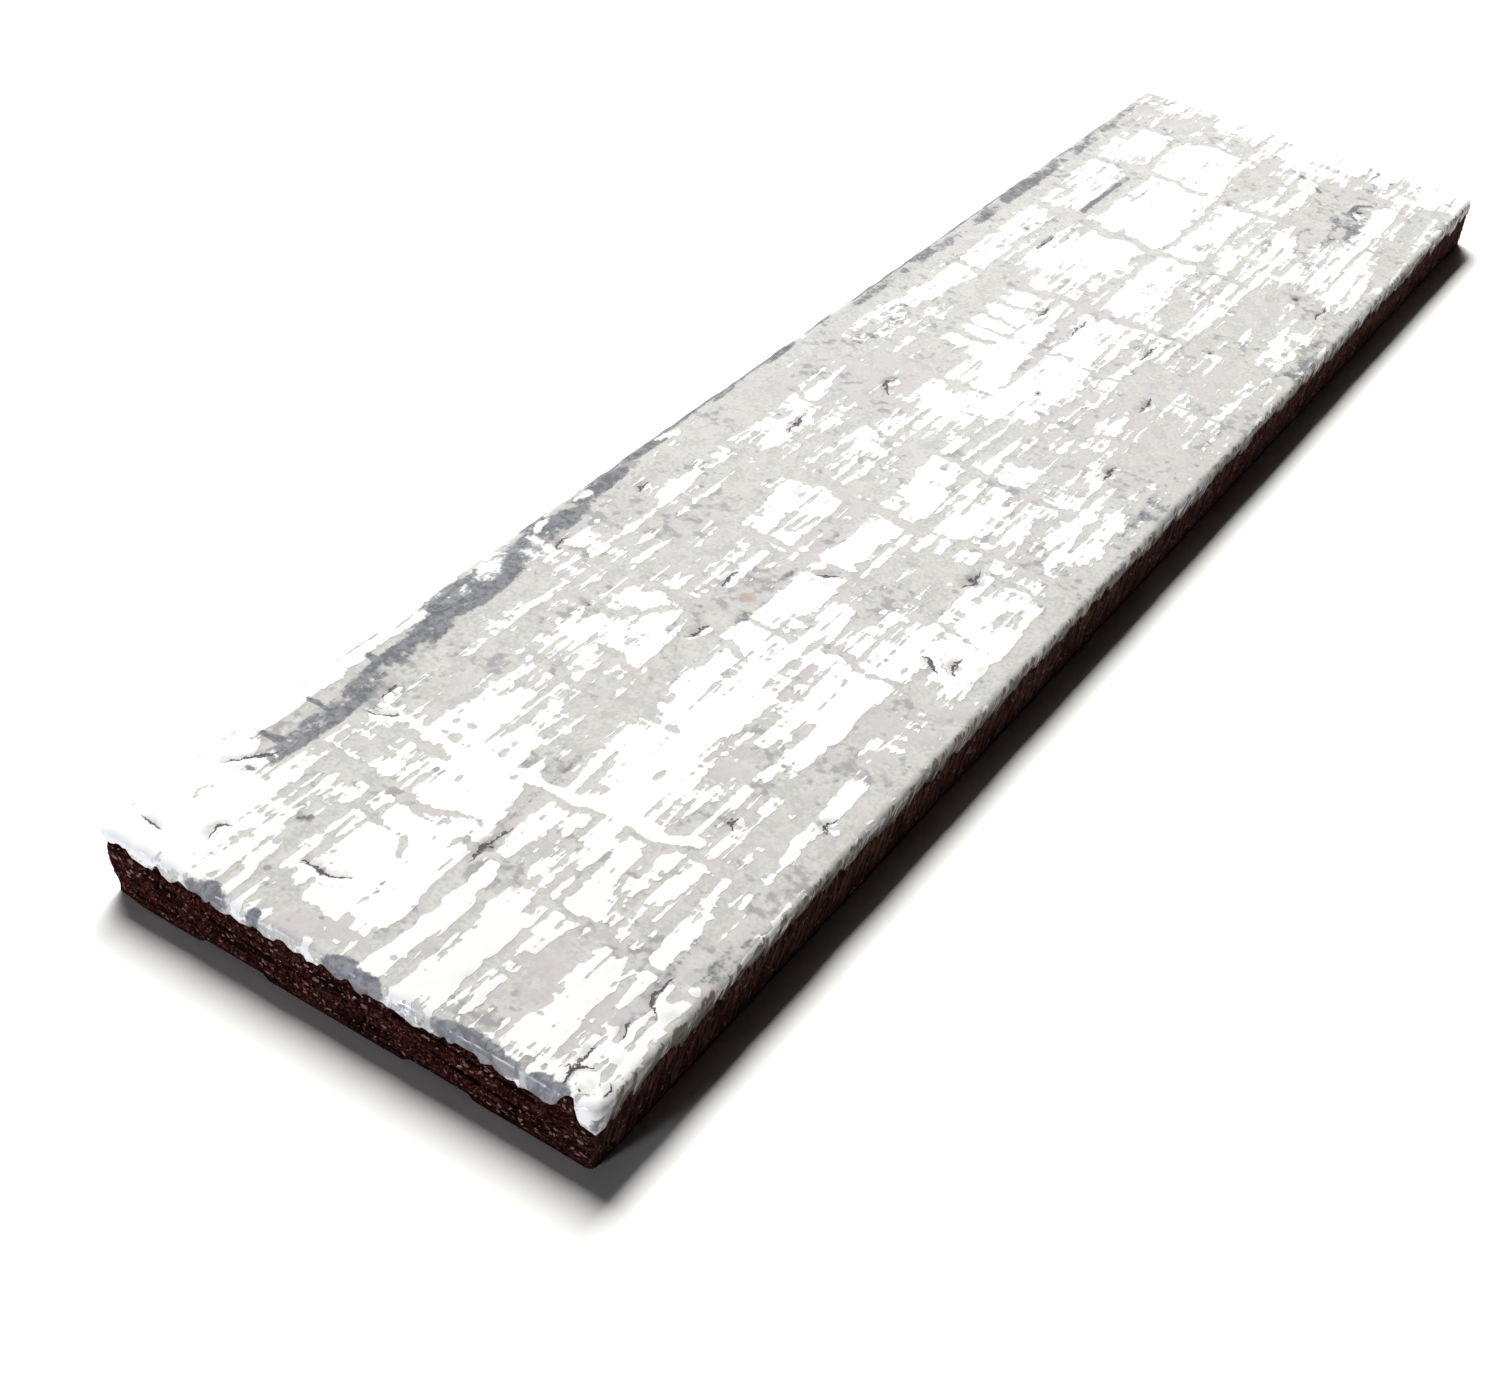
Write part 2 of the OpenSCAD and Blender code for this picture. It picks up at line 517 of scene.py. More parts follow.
def clay_material():
    """Dark red fired clay: dragged, cracked and full of fine pale grog, with painted shade in its crevices,
    drag marks, hollows and cracks.
    """
    material, tree, shader, where = new_material("fired_clay")
    lay = add(tree, "ShaderNodeAttribute", attribute_name="lay").outputs["Vector"]
    squeezed = add(tree, "ShaderNodeMapping", {"Vector": lay, "Scale": (0.5, 1.0, 1.0)}).outputs[0]
    clouds = place_group(tree, CLOUDS, Vector=where, Scale=90.0)
    fine = place_group(tree, GRAIN, Vector=where, Scale=2600.0, Crumble=0.7)
    small = place_group(tree, SPECKS, Vector=squeezed, Scale=3600.0, Share=0.5, Size=0.36)
    large = place_group(tree, SPECKS, Vector=squeezed, Scale=1700.0, Share=0.16, Size=0.34)
    drags = stepped(tree, place_group(tree, DRAGS, Vector=lay, Scale=1500.0, Stretch=10.0), 0.06, 0.13)
    streaks = place_group(tree, DRAGS, Vector=lay, Scale=2400.0, Stretch=7.0)
    crack = scaled_sum(tree, fine, 0.3, painted(tree, "crack"))
    streaks = stepped(tree, streaks, -0.02, 0.10, 0.1, 0.85)
    washed = calculate(tree, "MULTIPLY", painted(tree, "wash"), streaks)

    colour = blend(tree, stepped(tree, clouds, -0.25, 0.25), CLAY_RED, CLAY_BROWN)
    # Painted shade in the low spots of the fine grain
    colour = blend(tree, stepped(tree, fine, 0.54, 0.40), colour, CLAY_RECESS_SHADE)
    colour = blend(tree, stepped(tree, fine, 0.53, 0.66, 0.0, 0.55), colour, GROG_DARK)
    colour = blend_part(tree, small, 0.75, colour, GROG_DARK)
    colour = blend_part(tree, large, 0.85, colour, GROG_PALE)
    # Painted shade in the drag marks, in the deepest hollows of the relief and in the cracks
    colour = blend_part(tree, drags, 0.75, colour, CLAY_RECESS_SHADE)
    colour = blend(tree, painted(tree, "hollow_shade"), colour, CLAY_RECESS_SHADE)
    colour = blend(tree, stepped(tree, crack, 0.94, 1.04), colour, CLAY_RECESS_SHADE)
    colour = blend(tree, washed, colour, GLAZE_WASH)
    tree.links.new(colour, shader.inputs["Base Color"])
    shader.inputs["Roughness"].default_value = CLAY_ROUGH
    shader.inputs["Specular IOR Level"].default_value = CLAY_SHINE
    set_bump(tree, shader, scaled_sum(tree, drags, -0.5, fine), CLAY_BUMP)
    return material


def grog_material():
    """Pale crushed grog, each grain a little different."""
    material, tree, shader, where = new_material("grog")
    clouds = place_group(tree, CLOUDS, Vector=where, Scale=700.0)
    colour = blend(tree, stepped(tree, clouds, -0.08, 0.22), GROG_DARK, GROG_PALE)
    tree.links.new(colour, shader.inputs["Base Color"])
    shader.inputs["Roughness"].default_value = GROG_ROUGH
    grain = place_group(tree, GRAIN, Vector=where, Scale=4000.0, Crumble=0.6)
    set_bump(tree, shader, grain, GROG_BUMP)
    return material


# The glaze: sizes in mm

# Quads along and across the glazed face, and rings of quads down its lip
GLAZE_COLUMNS = 570
GLAZE_ROWS = 140
LIP_ROWS = 9
# Radius of the slip's corners seen from above, and of the rolled arris
CORNER_R = 1.0
ARRIS_R = 0.9
# Length of the lip from the edge of the flat face, at the ends and along the sides, and how far it varies
LIP_END = 2.4
LIP_SIDE = 2.5
LIP_SWING = 0.7
SIDE_SWING = 0.3
SHORTEST_LIP = 0.6
# How far the lip leans along the long sides for each mm down, and the depth from which it leans
LIP_SLANT = 0.6
SLANT_FROM = 0.8
# Distances from the slip's end between which that lean sets in
SLANT_SETS_IN = (3, 5)
# Distances from the slip's near end between which the face's finish passes into that of the near lip
NEAR_LIP = (2.2, 1.2)
# Rings that turn in under the lip: how far in, and how far up or down
LIP_UNDER = [(0.22, -0.06), (0.55, -0.02), (1.1, 0.1)]
# The closing lid of the glaze, sunk in the clay: how far in, and at what height
LID_IN = 0.6
LIP_FLOOR = 6.8

# Random layers, each with its strength, its size in mm along each axis and its seed.
# The lip's length, along the rim
LIP_LAYERS = [(0.5, (5.0,), 41), (0.5, (1.3,), 42), (0.5, (0.6,), 43)]
# How far the edges of the plates wander along the slip and across it, in mm
WANDER_ALONG = [(1.1, (4, 4), 11), (0.5, (1.6, 1.6), 13)]
WANDER_ACROSS = [(0.6, (12, 6), 12), (0.35, (2.2, 2.2), 14)]
# How white the glaze is by chance: in drag marks, and in broad areas
DRAG_LAYERS = [(0.75, (12, 1.3), 1), (0.5, (5, 1.1), 2), (0.35, (1.5, 4.5), 3)]
BROAD_LAYERS = [(0.4, (15, 6), 4)]
# Edges of the pits, in shares of their radius
PIT_LAYERS = [(0.5, (1.3, 0.9), 21), (0.2, (0.7, 0.7), 22)]
# How far the cracks bend along the slip and across it, in mm
BEND_ALONG = [(0.3, (1.7, 1.7), 25)]
BEND_ACROSS = [(0.3, (1.7, 1.7), 26)]
# Relief in mm: waves all over, the rough lip and the crumbled lump
WAVE_LAYERS = [(0.09, (28, 14), 31), (0.045, (9, 5), 32), (0.015, (2.5, 1.6), 33)]
LIP_RELIEF = [(0.15, (1.6, 1.6), 34), (0.12, (4, 4), 40)]
CRUMBLED_RELIEF = [(0.25, (0.9, 0.9), 45), (0.3, (0.5, 0.5), 46)]
# Slate patches by chance on the near lip, and the uneven edges of the named slate areas
SLATE_PATCHES = [(1.0, (2.0, 3.5), 35), (0.5, (0.8, 1.2), 36)]
SLATE_EDGES = [(0.5, (6, 1.6), 38), (0.3, (1.6, 1.0), 39)]

# How white the glaze is: shift of the whole pattern, white of a named plate, softness of its edge in mm
PLATE_SHARE = -0.09
PLATE_WHITE = 0.95
PLATE_EDGE = 0.7
PLATE_RANGE = (-1.6, 1.2)
# White of a lump, partly a painted highlight where its raised rim catches the light, and of the flake beside
# a crack, and grey of a line pressed across
LUMP_WHITE_AND_GLINT = 2.5
FLAKE_WHITE = 2.0
CROSS_GREY = 2.2
# How far a plate stands over the ground, in mm
PLATE_RISE = 0.05
# Lines pressed across the face: place along the slip, tilt, half width, depth
CROSS_LINES = [
    (-104.5, 0.1, 0.5, 0.8), (-94, -0.12, 0.6, 0.7), (-77, 0.05, 0.5, 0.6), (-55, -0.06, 0.7, 0.8),
    (-39, 0.08, 0.5, 0.6), (-24, -0.04, 0.7, 0.9), (-8, 0.06, 0.6, 0.7), (10.5, -0.08, 0.6, 0.8),
    (27, 0.05, 0.4, 0.5), (43, -0.05, 0.8, 0.9), (68, 0.04, 0.9, 1.0), (93, -0.03, 0.9, 0.9),
    (111, -0.06, 0.7, 0.8),
]

# White plates: from x, to x, from y, to y
PLATES = [
    (-125, -111, 16, 30), (-120, -106, 0, 8), (-124, -95, -4.5, -2.5), (-125, -107, -10, -7),
    (-103, -95, 0, 5.5), (-89, -61, 9.5, 14), (-69, -58, 4, 13), (-94, -44, -10, -7), (-38, -24.5, 4, 11),
    (-58, -42, -5, -1), (-40, -8.5, -5, -0.5), (-73, -52, -20, -12), (-24, -2, -12, -7),
    (-22, -8, -23, -21), (5, 42, -5, 1), (11, 32, 2, 7), (20, 41, 7, 14), (45, 91, -3.5, 1),
    (49, 67, 4.5, 15), (70, 112, 3, 14.5), (70, 92, 18, 24), (95, 109, 17, 23), (25, 67, 19.5, 24),
    (50, 87, -13.5, -10), (71, 115, -24.5, -20.5), (-114, -75, 28, 30), (-95, -70, -26, -24.5),
    (115, 125, -30, -22), (0, 60, -27.3, -26.3), (96.5, 99.5, -17.2, -16), (102, 107, -18, -16.3),
]

# Broad areas: middle x, middle y, reach x, reach y, more white (above 0) or more grey (below 0)
AREAS = [
    (-88, 24.5, 27, 3.2, -1.1), (-20, 26, 42, 4.5, -1.2), (66, 27.5, 64, 3.4, -1.8),
    (-20, 15, 46, 3.6, -0.6), (-56, 3, 14, 2.6, -0.7), (-63, 0.3, 62, 1.2, -0.8), (38, -17, 28, 5.5, -0.8),
    (-8, -28, 120, 2.2, -1.1), (100, -14, 14, 5, -1.0), (104, 1, 12, 4, -0.8), (-71, -22, 26, 2.6, -0.8),
    (8, -9, 22, 2, -0.3), (-90, 17, 22, 3, -0.3), (-100, -15, 18, 3, -0.3), (-108, 8, 15, 7, 0.6),
    (-95, -9, 30, 5, 0.3), (-115, 26, 9, 5, 1.4), (-98, 28.8, 15, 1.7, 1.7), (-88, 8, 12, 5, 0.6),
    (-62, 18, 11, 3, -0.4), (-12, 17, 11, 4, 0.5), (-12, 8, 11, 4, 0.6), (-64, -2, 11, 3, 0.7),
    (-88, -12, 12, 3, 0.5), (-38, 8, 10, 4, -0.5), (-12, -2, 11, 4, 0.4), (-38, -12, 11, 4, -0.4),
    (-112, -23, 12, 4, 0.2), (-38, -23, 12, 4, 0.9), (-14, -24, 10, 3, 0.7),
    (38, 17, 13, 5, -1.1), (62, 18, 12, 4, -0.9), (88, 19, 11, 4, -0.5), (12, 18, 11, 4, -0.5),
    (114, 17, 9, 4, -1.1), (114, 8, 9, 5, -0.6), (62, -12, 12, 4, -0.6), (12, -23, 12, 5, -0.7),
    (38, -23, 12, 4, -0.9), (-62, -13, 12, 4, -0.5), (-60, -16, 24, 6, 0.35), (40, -3, 30, 5, 0.3),
    (90, 10, 34, 7, 0.4), (-116, -15.5, 9, 3, -0.7), (122, 4, 5, 26, 0.9), (25, -2, 20, 5, -0.3),
    (-12, -22, 16, 5, -0.5), (-96, -26, 26, 3, -0.7),
]

# Thin, slate-coloured areas: middle x, middle y, reach x, reach y, strength
SLATES = [
    (-98, 24.0, 13, 1.4, 0.75), (-84, 25.0, 12, 1.5, 0.85), (-70, 26.6, 13, 2.4, 1.1),
    (-56, 27.2, 11, 1.6, 0.95), (-44, 28.2, 8, 1.2, 0.8), (-30, 29.2, 8, 1.0, 0.8),
    (-14, 29.4, 7, 0.8, 0.8), (0, 29.4, 6, 0.8, 0.8), (-70, 0.3, 50, 1.0, 0.22), (96, -15.5, 11, 3.2, 0.3),
    (112, -14, 10, 3, 0.2), (90, -13, 5, 1.2, 0.5), (99, -18.6, 7, 1.2, 0.5), (66, 28.6, 60, 1.6, 0.6),
    (-106, 9, 6, 3, 0.2), (-104, -27, 20, 2.4, 0.3), (30, -28, 70, 2.0, 0.3), (-125.6, 16, 2.4, 2.4, 1.2),
    (-125.6, 10, 2.4, 0.8, 1.0), (-125.6, -2, 2.4, 3.2, 1.3), (-125.6, -16.5, 2.4, 4.4, 1.3),
    (-125.6, -24.5, 2.4, 2.2, 1.3), (-126.1, -30.9, 0.9, 0.9, 0.9), (18, 23, 10, 2, 0.3),
    (60, 22, 30, 1.4, 0.3), (80, 17, 12, 1.0, 0.4),
]

# Pits: place, radius, depth
PITS = [
    (-55.9, 24.9, 0.6, 0.5), (-39.6, 24.3, 0.5, 0.4), (-94.2, 21.0, 0.9, 0.5), (-63.6, 15.6, 0.8, 0.5),
    (-103, -1.4, 0.8, 0.5), (-49.9, 5.2, 0.8, 0.4), (-46.6, -23.7, 0.6, 0.5), (-79.2, -26.1, 0.6, 0.5),
    (-122.2, -29.6, 0.4, 0.4), (-85.1, -18.3, 0.5, 0.4), (-106.3, -6.8, 0.7, 0.4), (-30, -17.2, 1.1, 0.5),
    (-13.4, 17.7, 0.9, 0.4), (4.9, 13.9, 0.9, 0.5), (37.6, 6.9, 0.9, 0.5), (37.6, -9.7, 1.1, 0.6),
    (23.5, -15.9, 1.0, 0.6), (43.9, -16.8, 0.8, 0.5), (69, -20, 1.0, 0.5), (60, 21, 0.7, 0.4),
    (92.4, 0.7, 0.9, 0.5), (16, -3, 0.7, 0.4), (4, -19.2, 0.9, 0.5), (105.6, -17.2, 1.2, 0.4),
]

# Cracks in the glaze, by their points
CRACKS = [
    [(-110.5, 27.5), (-107.5, 25), (-105, 23.7)], [(-95, 21.8), (-94, 19.7), (-92.8, 18)],
    [(-92.4, 21.8), (-89, 22.2)], [(-116.2, 11.8), (-116.6, 8.8), (-115.3, 6)],
    [(-107, -1.2), (-102.8, -0.8), (-99.5, -1.8)], [(-62, 3.4), (-60.3, 2.6), (-57.8, 2.2)],
    [(-50.8, 5.1), (-46.6, 5.7)], [(-49.1, -22.8), (-47, -19.5)],
    [(-32.8, -16.6), (-30, -17.4), (-27.4, -16.8)], [(-116.5, -26.4), (-113.7, -25.6)],
    [(-17, 17.3), (-13.7, 17.8), (-10.3, 17.8)], [(-121.6, -24.5), (-118.3, -25.3)],
    [(-42, -2), (-40, -4.1)], [(20.5, -15.8), (26, -15.8)], [(35.5, 6.8), (39, 6.9)],
    [(34, -9.8), (40, -9.9)], [(33.5, 0.9), (39.5, 0.9)], [(1, 12), (3.5, 14.2), (6.5, 13.6)],
    [(56, 16.6), (61, 16.5)], [(64, -24.5), (70, -24.8)], [(1, -19.4), (6, -19.6)],
    [(-120.4, -26.2), (-122.0, -25.0), (-124.2, -25.4)], [(-121.4, -28.6), (-123.4, -29.6)],
    [(-57.4, 23.8), (-56.3, 25.1), (-54.4, 24.6)], [(-40.8, 23.5), (-39.7, 24.5), (-38.2, 24.0)],
    [(-48.2, -24.8), (-46.8, -23.3), (-44.6, -23.7)],
    [(-112.4, -27.6), (-110.6, -25.9), (-108.6, -25.4), (-106.6, -26.2)],
    [(-80.4, -27), (-79.3, -25.8), (-77.6, -26.5)], [(-86.2, -18.9), (-85.2, -18.0), (-83.8, -18.5)],
    [(-121, 27.5), (-121.6, 25)], [(-119.8, 20.4), (-117.5, 21), (-116.8, 19.8)],
]

# Where the glaze was torn back from the arris or ran over it: place, reach, change of its length
RIM_CHANGES = [
    (-124.4, -26.6, 1.1, -2.2), (-124.4, -29.2, 1.7, 0.6), (-125, -28.0, 0.5, -0.7),
    (-124.2, -30, 0.4, -0.5), (-122.6, -29.6, 1.0, 0.4), (-124.4, 22.3, 0.5, -1.2), (-125, 26.5, 4, -0.8),
    (-125, 4.0, 1.0, -0.6), (-125, -9.5, 1.6, 0.5), (-60, -30, 3, 0.8), (-20, -30, 4, -0.7),
    (35, -30, 6, -0.8), (80, -30, 4, 0.4),
]

# Strokes of the drag across the plates: half width, depth (below 0 for a white stroke), and its points
STROKES = [
    (0.7, 2.2, [(-119.8, 13), (-123, 2.5)]), (0.5, 1.6, [(-120.8, 10.5), (-120.8, 0.5)]),
    (0.6, 2.2, [(-104.5, 19), (-103.2, 9), (-101, 1.5)]), (0.4, 1.6, [(-107, 12), (-109, 4.5)]),
    (0.8, -2.4, [(-93, 20), (-93.8, 5.5), (-90.2, -17)]), (0.5, 1.8, [(-77, 13), (-77, 8)]),
    (0.5, 1.8, [(-65.5, 14.5), (-60.5, 8), (-56, 4.5)]), (0.5, 1.6, [(-69.5, 10), (-70.3, 2)]),
    (0.6, 2.2, [(-38.7, 19), (-39.5, 8), (-41.2, 2.2)]), (0.7, 2.2, [(-23.8, 19), (-23.4, 3.5)]),
    (0.5, 1.8, [(-42, 0), (-40, -4.5)]), (0.5, 1.6, [(-60.2, 0), (-60.3, -4.5)]),
    (0.8, -2.2, [(-73.6, -2), (-72.4, -10)]), (0.6, 1.8, [(-24.5, 1.5), (-24.3, -5.5)]),
    (0.5, 1.8, [(-28.7, -10), (-27.8, -28.5)]), (0.5, 1.6, [(-8, 1.5), (-7.6, -9)]),
    (0.5, 2.0, [(23, 14.5), (23.3, 8)]), (0.5, 2.0, [(27, 14.5), (27.2, 8)]),
    (0.4, 2.0, [(31.5, 14.5), (31, 8)]), (0.5, 2.0, [(35.2, 14), (36, 7.5)]),
    (0.9, 2.0, [(68.8, 24), (68.2, 3)]), (0.6, 1.8, [(92.7, 24), (93, 17)]),
    (0.8, 2.0, [(42.5, 12), (43, -5)]), (0.4, 2.2, [(71, 17.3), (96, 17), (122, 17.2)]),
    (0.3, 1.8, [(47, 19.2), (67, 19)]), (0.5, 1.8, [(43, 1.4), (71, 2)]),
    (0.5, 1.8, [(71, 1.8), (103, 1.6)]), (0.6, 1.8, [(-124.5, 13), (-108, 14.2)]),
    (0.8, 2.2, [(-123.7, -1.2), (-99.5, -1.4)]), (0.5, 1.8, [(-123.7, -5.7), (-104.5, -6)]),
    (0.6, -2.6, [(-84, 30), (-70, 30)]), (0.7, -2.6, [(-52.5, 30), (-44.5, 30)]),
    (0.5, -2.4, [(-37.5, 30), (-34, 30)]), (0.6, -2.2, [(-58, 27.5), (-54, 28.4)]),
    (0.5, -2.2, [(-48, 28.2), (-45, 27.6)]), (0.5, -2.2, [(-29, 28.4), (-25, 28.4)]),
    (0.4, 1.4, [(60, -11.8), (84, -12)]), (0.4, 1.6, [(72, -22.2), (114, -22.5)]),
    (0.5, 1.6, [(101, -24.5), (101.6, -28)]),
]

# Thin, slate-coloured strokes: half width and points
SLATE_STROKES = [
    (0.5, [(-104.5, 29), (-104, 25)]), (0.4, [(-97, 29), (-97, 25)]), (0.5, [(-87.4, 29.8), (-87, 25)]),
    (0.6, [(-88, 29.6), (-84, 29.6)]), (0.7, [(-57, 29.8), (-53.5, 29.6)]),
    (0.6, [(-43, 29.8), (-38, 29.7)]), (0.6, [(-33, 29.7), (-20, 29.8)]), (0.5, [(-19, 29.8), (-10, 29.8)]),
    (0.6, [(-9, 29.8), (2, 29.7)]), (0.5, [(8, 29.8), (14, 29.7)]), (0.5, [(21, 29.8), (40, 29.8)]),
    (0.5, [(48, 29.8), (70, 29.8)]), (0.3, [(-122, 20), (-120.8, 18.4)]),
    (0.4, [(-118.8, 20.2), (-117.6, 21), (-116.8, 20.4)]), (0.5, [(-111, 26), (-109.4, 24.4)]),
    (0.3, [(-112, 15.8), (-111, 14.8)]), (0.4, [(72, 17.2), (86, 17.2)]), (0.3, [(55, 16.8), (60.5, 16.8)]),
    (0.5, [(108, -9), (111.5, -4.5)]), (0.4, [(102, -17.4), (104, -15.6), (107.5, -15.8), (109, -17.6)]),
    (0.5, [(120, -17), (122.5, -14)]),
]

# Small pits scattered at random: seed, number, reach along and across, radius and depth
PIT_SEED = 7
SMALL_PITS = 34
SMALL_PIT_REACH = (120, 28)
SMALL_PIT_R = (0.3, 0.7)
SMALL_PIT_D = 0.1
# Tan stains: place, radius
STAINS = [(-50.7, 1.7, 1.3)]
STAIN_STRENGTH = 0.6
# Distance from a crack in mm past which it leaves no mark
CRACK_FAR = 1.6
# Height of the glaze's relief that lies at the outer size, its greatest depth, and its share on the lip
RELIEF_TOP = 0.17
RELIEF_DEEPEST = 0.75
RELIEF_ON_LIP = 0.55
# The crumbled lump over the near-right corner: middle and reach
CRUMBLED = (-124.5, -28.5, 3.5, 3.5)
# White lumps beside the pits, their white partly a painted highlight on their raised rims: place, radius,
# height
LUMPS = [
    (-48.6, -25.2, 1.1, 0.14), (-45.3, -25.3, 0.9, 0.12), (-110.9, -27.6, 1.3, 0.16),
    (-107.3, -28.2, 0.8, 0.12), (-79.6, -27.4, 0.7, 0.12), (-94.6, 19.2, 0.8, 0.12),
    (-91.2, 21.3, 0.7, 0.1), (-102.4, -0.2, 0.9, 0.12), (-55.2, 23.7, 0.7, 0.1), (-39.2, 23.4, 0.5, 0.1),
    (-45.6, 4.8, 0.4, 0.08), (-12.6, 17.0, 0.8, 0.1), (-124.6, -28.4, 1.1, 0.2), (-126, -28.6, 0.6, 0.2),
    (-123, -29.8, 0.6, 0.15), (-122.4, -27.2, 1.3, 0.15), (-121.0, -25.2, 1.0, 0.12),
    (-118.6, -27.4, 0.7, 0.08), (-84.4, -18.6, 0.6, 0.1), (-106, 24.2, 0.8, 0.1), (4.6, 13.2, 0.7, 0.1),
    (37, -10.6, 0.8, 0.1), (23.5, -16.8, 0.9, 0.1), (104, -17, 1.0, 0.12), (-63.2, 14.9, 0.5, 0.08),
    (60.6, 20.3, 0.6, 0.08), (92.6, 0.0, 0.6, 0.08),
]


def lip_lengths(shell):
    """Length of the lip at each point of the rim: uneven, and changed where it was torn or ran over."""
    rim, out = shell.ring(0), shell.rim_out
    along = np.cumsum(np.linalg.norm(rim - np.roll(rim, 1, axis=0), axis=1))[:, None]
    on_end = out[:, 0] ** 2
    swing = (LIP_SWING + SIDE_SWING * (1 - on_end)) * layered(along, LIP_LAYERS)
    length = LIP_END * on_end + LIP_SIDE * (1 - on_end) + swing
    for x, y, reach, change in RIM_CHANGES:
        away = np.hypot(rim[:, 0] - x, rim[:, 1] - y) / reach
        length = length + change * (1 - eased(away, 0.4, 1.3))
    return np.maximum(length, SHORTEST_LIP)


def lip_slant(shell):
    """How far each point of the rim moves along a side for each mm down the lip."""
    out = shell.rim_out
    straight = 1 - eased(np.abs(out[:, 0] * out[:, 1]), 0.0, 0.1)
    slant = np.where(out[:, 1] < 0, -1.0, 1.0) * LIP_SLANT * straight * (1 - out[:, 0] ** 2)
    to_end = SLIP_L / 2 - np.abs(shell.ring(0)[:, 0])
    return slant * eased(to_end, *SLANT_SETS_IN)


def glaze_rim(shell):
    """Rings of the glaze over the arris and down the lip, then turned in under its lower edge."""
    out = shell.rim_out
    tangent = np.stack([-out[:, 1], out[:, 0]], -1)
    length, slant = lip_lengths(shell), lip_slant(shell)
    rings, turned = [], []
    arc_full = ARRIS_R * math.pi / 2
    for k in range(1, LIP_ROWS + 1):
        arc = length * k / LIP_ROWS
        angle = np.minimum(arc, arc_full) / ARRIS_R
        drop = ARRIS_R * (1 - np.cos(angle)) + np.maximum(arc - arc_full, 0)
        moved = slant * np.maximum(drop - SLANT_FROM, 0)
        plan = shell.ring(ARRIS_R * np.sin(angle)) + tangent * moved[:, None]
        rings.append(np.column_stack([plan, SLIP_T - drop]))
        facing = np.column_stack([out * np.sin(angle)[:, None], np.cos(angle)])
        turned.append((facing, shell.ring(arc), arc, arc / length))
    last, low = rings[-1][:, :2], rings[-1][:, 2]
    for inward, lift in LIP_UNDER:
        rings.append(np.column_stack([last - out * inward, low + lift]))
    rings.append(np.column_stack([shell.ring(-LID_IN), np.full(len(out), LIP_FLOOR)]))
    return rings, turned


def glaze_pattern(flat):
    """How white the glaze looks at each point, partly its own tone and partly a painted reflection: above 0
    on the raised plates, below in the dragged ground.
    """
    wander = flat + np.column_stack([layered(flat, WANDER_ALONG), layered(flat, WANDER_ACROSS)])
    value = layered(wander, DRAG_LAYERS) + layered(flat, BROAD_LAYERS)
    kept = eased(rough(flat, (8, 6), 6), -0.75, 0.1)
    for place, tilt, half_width, depth in CROSS_LINES:
        away = np.abs(wander[:, 0] - place - tilt * wander[:, 1])
        value -= CROSS_GREY * depth * kept * (1 - eased(away, 0.3 * half_width, 1.3 * half_width))
    for x, y, reach_x, reach_y, white in AREAS:
        value += white * patch(wander, x, y, reach_x, reach_y)
    plates = np.zeros(len(flat))
    for low_x, high_x, low_y, high_y in PLATES:
        plates = np.maximum(plates, block(wander, low_x, high_x, low_y, high_y, PLATE_EDGE))
    value = np.clip(value + PLATE_WHITE * plates, *PLATE_RANGE)
    ragged = rough(flat, (1.5, 1.5), 8)
    for half_width, depth, points in STROKES:
        away = line_distance(wander, points) + 0.3 * half_width * ragged
        value -= depth * (1 - eased(away, 0.4 * half_width, 1.3 * half_width))
    return value + PLATE_SHARE


def small_pits():
    """Small shallow pits at random places: x, y, radius, depth."""
    chance = np.random.default_rng(PIT_SEED)
    reach_x, reach_y = SMALL_PIT_REACH
    return [(chance.uniform(-reach_x, reach_x), chance.uniform(-reach_y, reach_y),
             chance.uniform(*SMALL_PIT_R), SMALL_PIT_D) for _ in range(SMALL_PITS)]


def pit_marks(flat):
    """Depth of the pits, and nearness to the middle of one."""
    depth, pit = np.zeros(len(flat)), np.zeros(len(flat))
    uneven = layered(flat, PIT_LAYERS)
    for x, y, radius, deep in PITS + small_pits():
        near = np.hypot((flat[:, 0] - x) / 1.3, flat[:, 1] - y) / radius + uneven
        depth = np.maximum(depth, 0.45 * deep * (1 - eased(near, 0.1, 1.1)))
        pit = np.maximum(pit, eased(deep, 0.0, 0.35) * (1 - 0.6 * near))
    return depth, np.clip(pit, 0, 1)


def crack_run(flat):
    """Depth beside the cracks, strength of a crack and the signed distance across it."""
    crack, crack_side = np.zeros(len(flat)), np.full(len(flat), CRACK_FAR)
    bent = flat + np.column_stack([layered(flat, BEND_ALONG), layered(flat, BEND_ACROSS)])
    for line in CRACKS:
        side, way = side_of_line(bent, line)
        closer = np.abs(side) < np.abs(crack_side)
        taper = 1 - np.abs(2 * way - 1) ** 3
        crack_side = np.where(closer, side, crack_side)
        crack = np.where(closer, taper * (1 - eased(np.abs(side), 0.9, CRACK_FAR)), crack)
    depth = 0.12 * crack * eased(crack_side, -0.3, 0.0) * (1 - eased(crack_side, 0.1, 1.0))
    return depth, crack, crack_side


def white_lumps_and_glints(flat):
    """Nearness to the white lumps beside the pits, whose white is partly a painted highlight, and their
    height.
    """
    white, height = np.zeros(len(flat)), np.zeros(len(flat))
    uneven = 0.3 * rough(flat, (0.8, 0.8), 24)
    for x, y, radius, tall in LUMPS:
        lump = 1 - eased(np.hypot(flat[:, 0] - x, flat[:, 1] - y) / radius + uneven, 0.3, 1.1)
        white = white + lump
        height = height + tall * lump
    return white, height


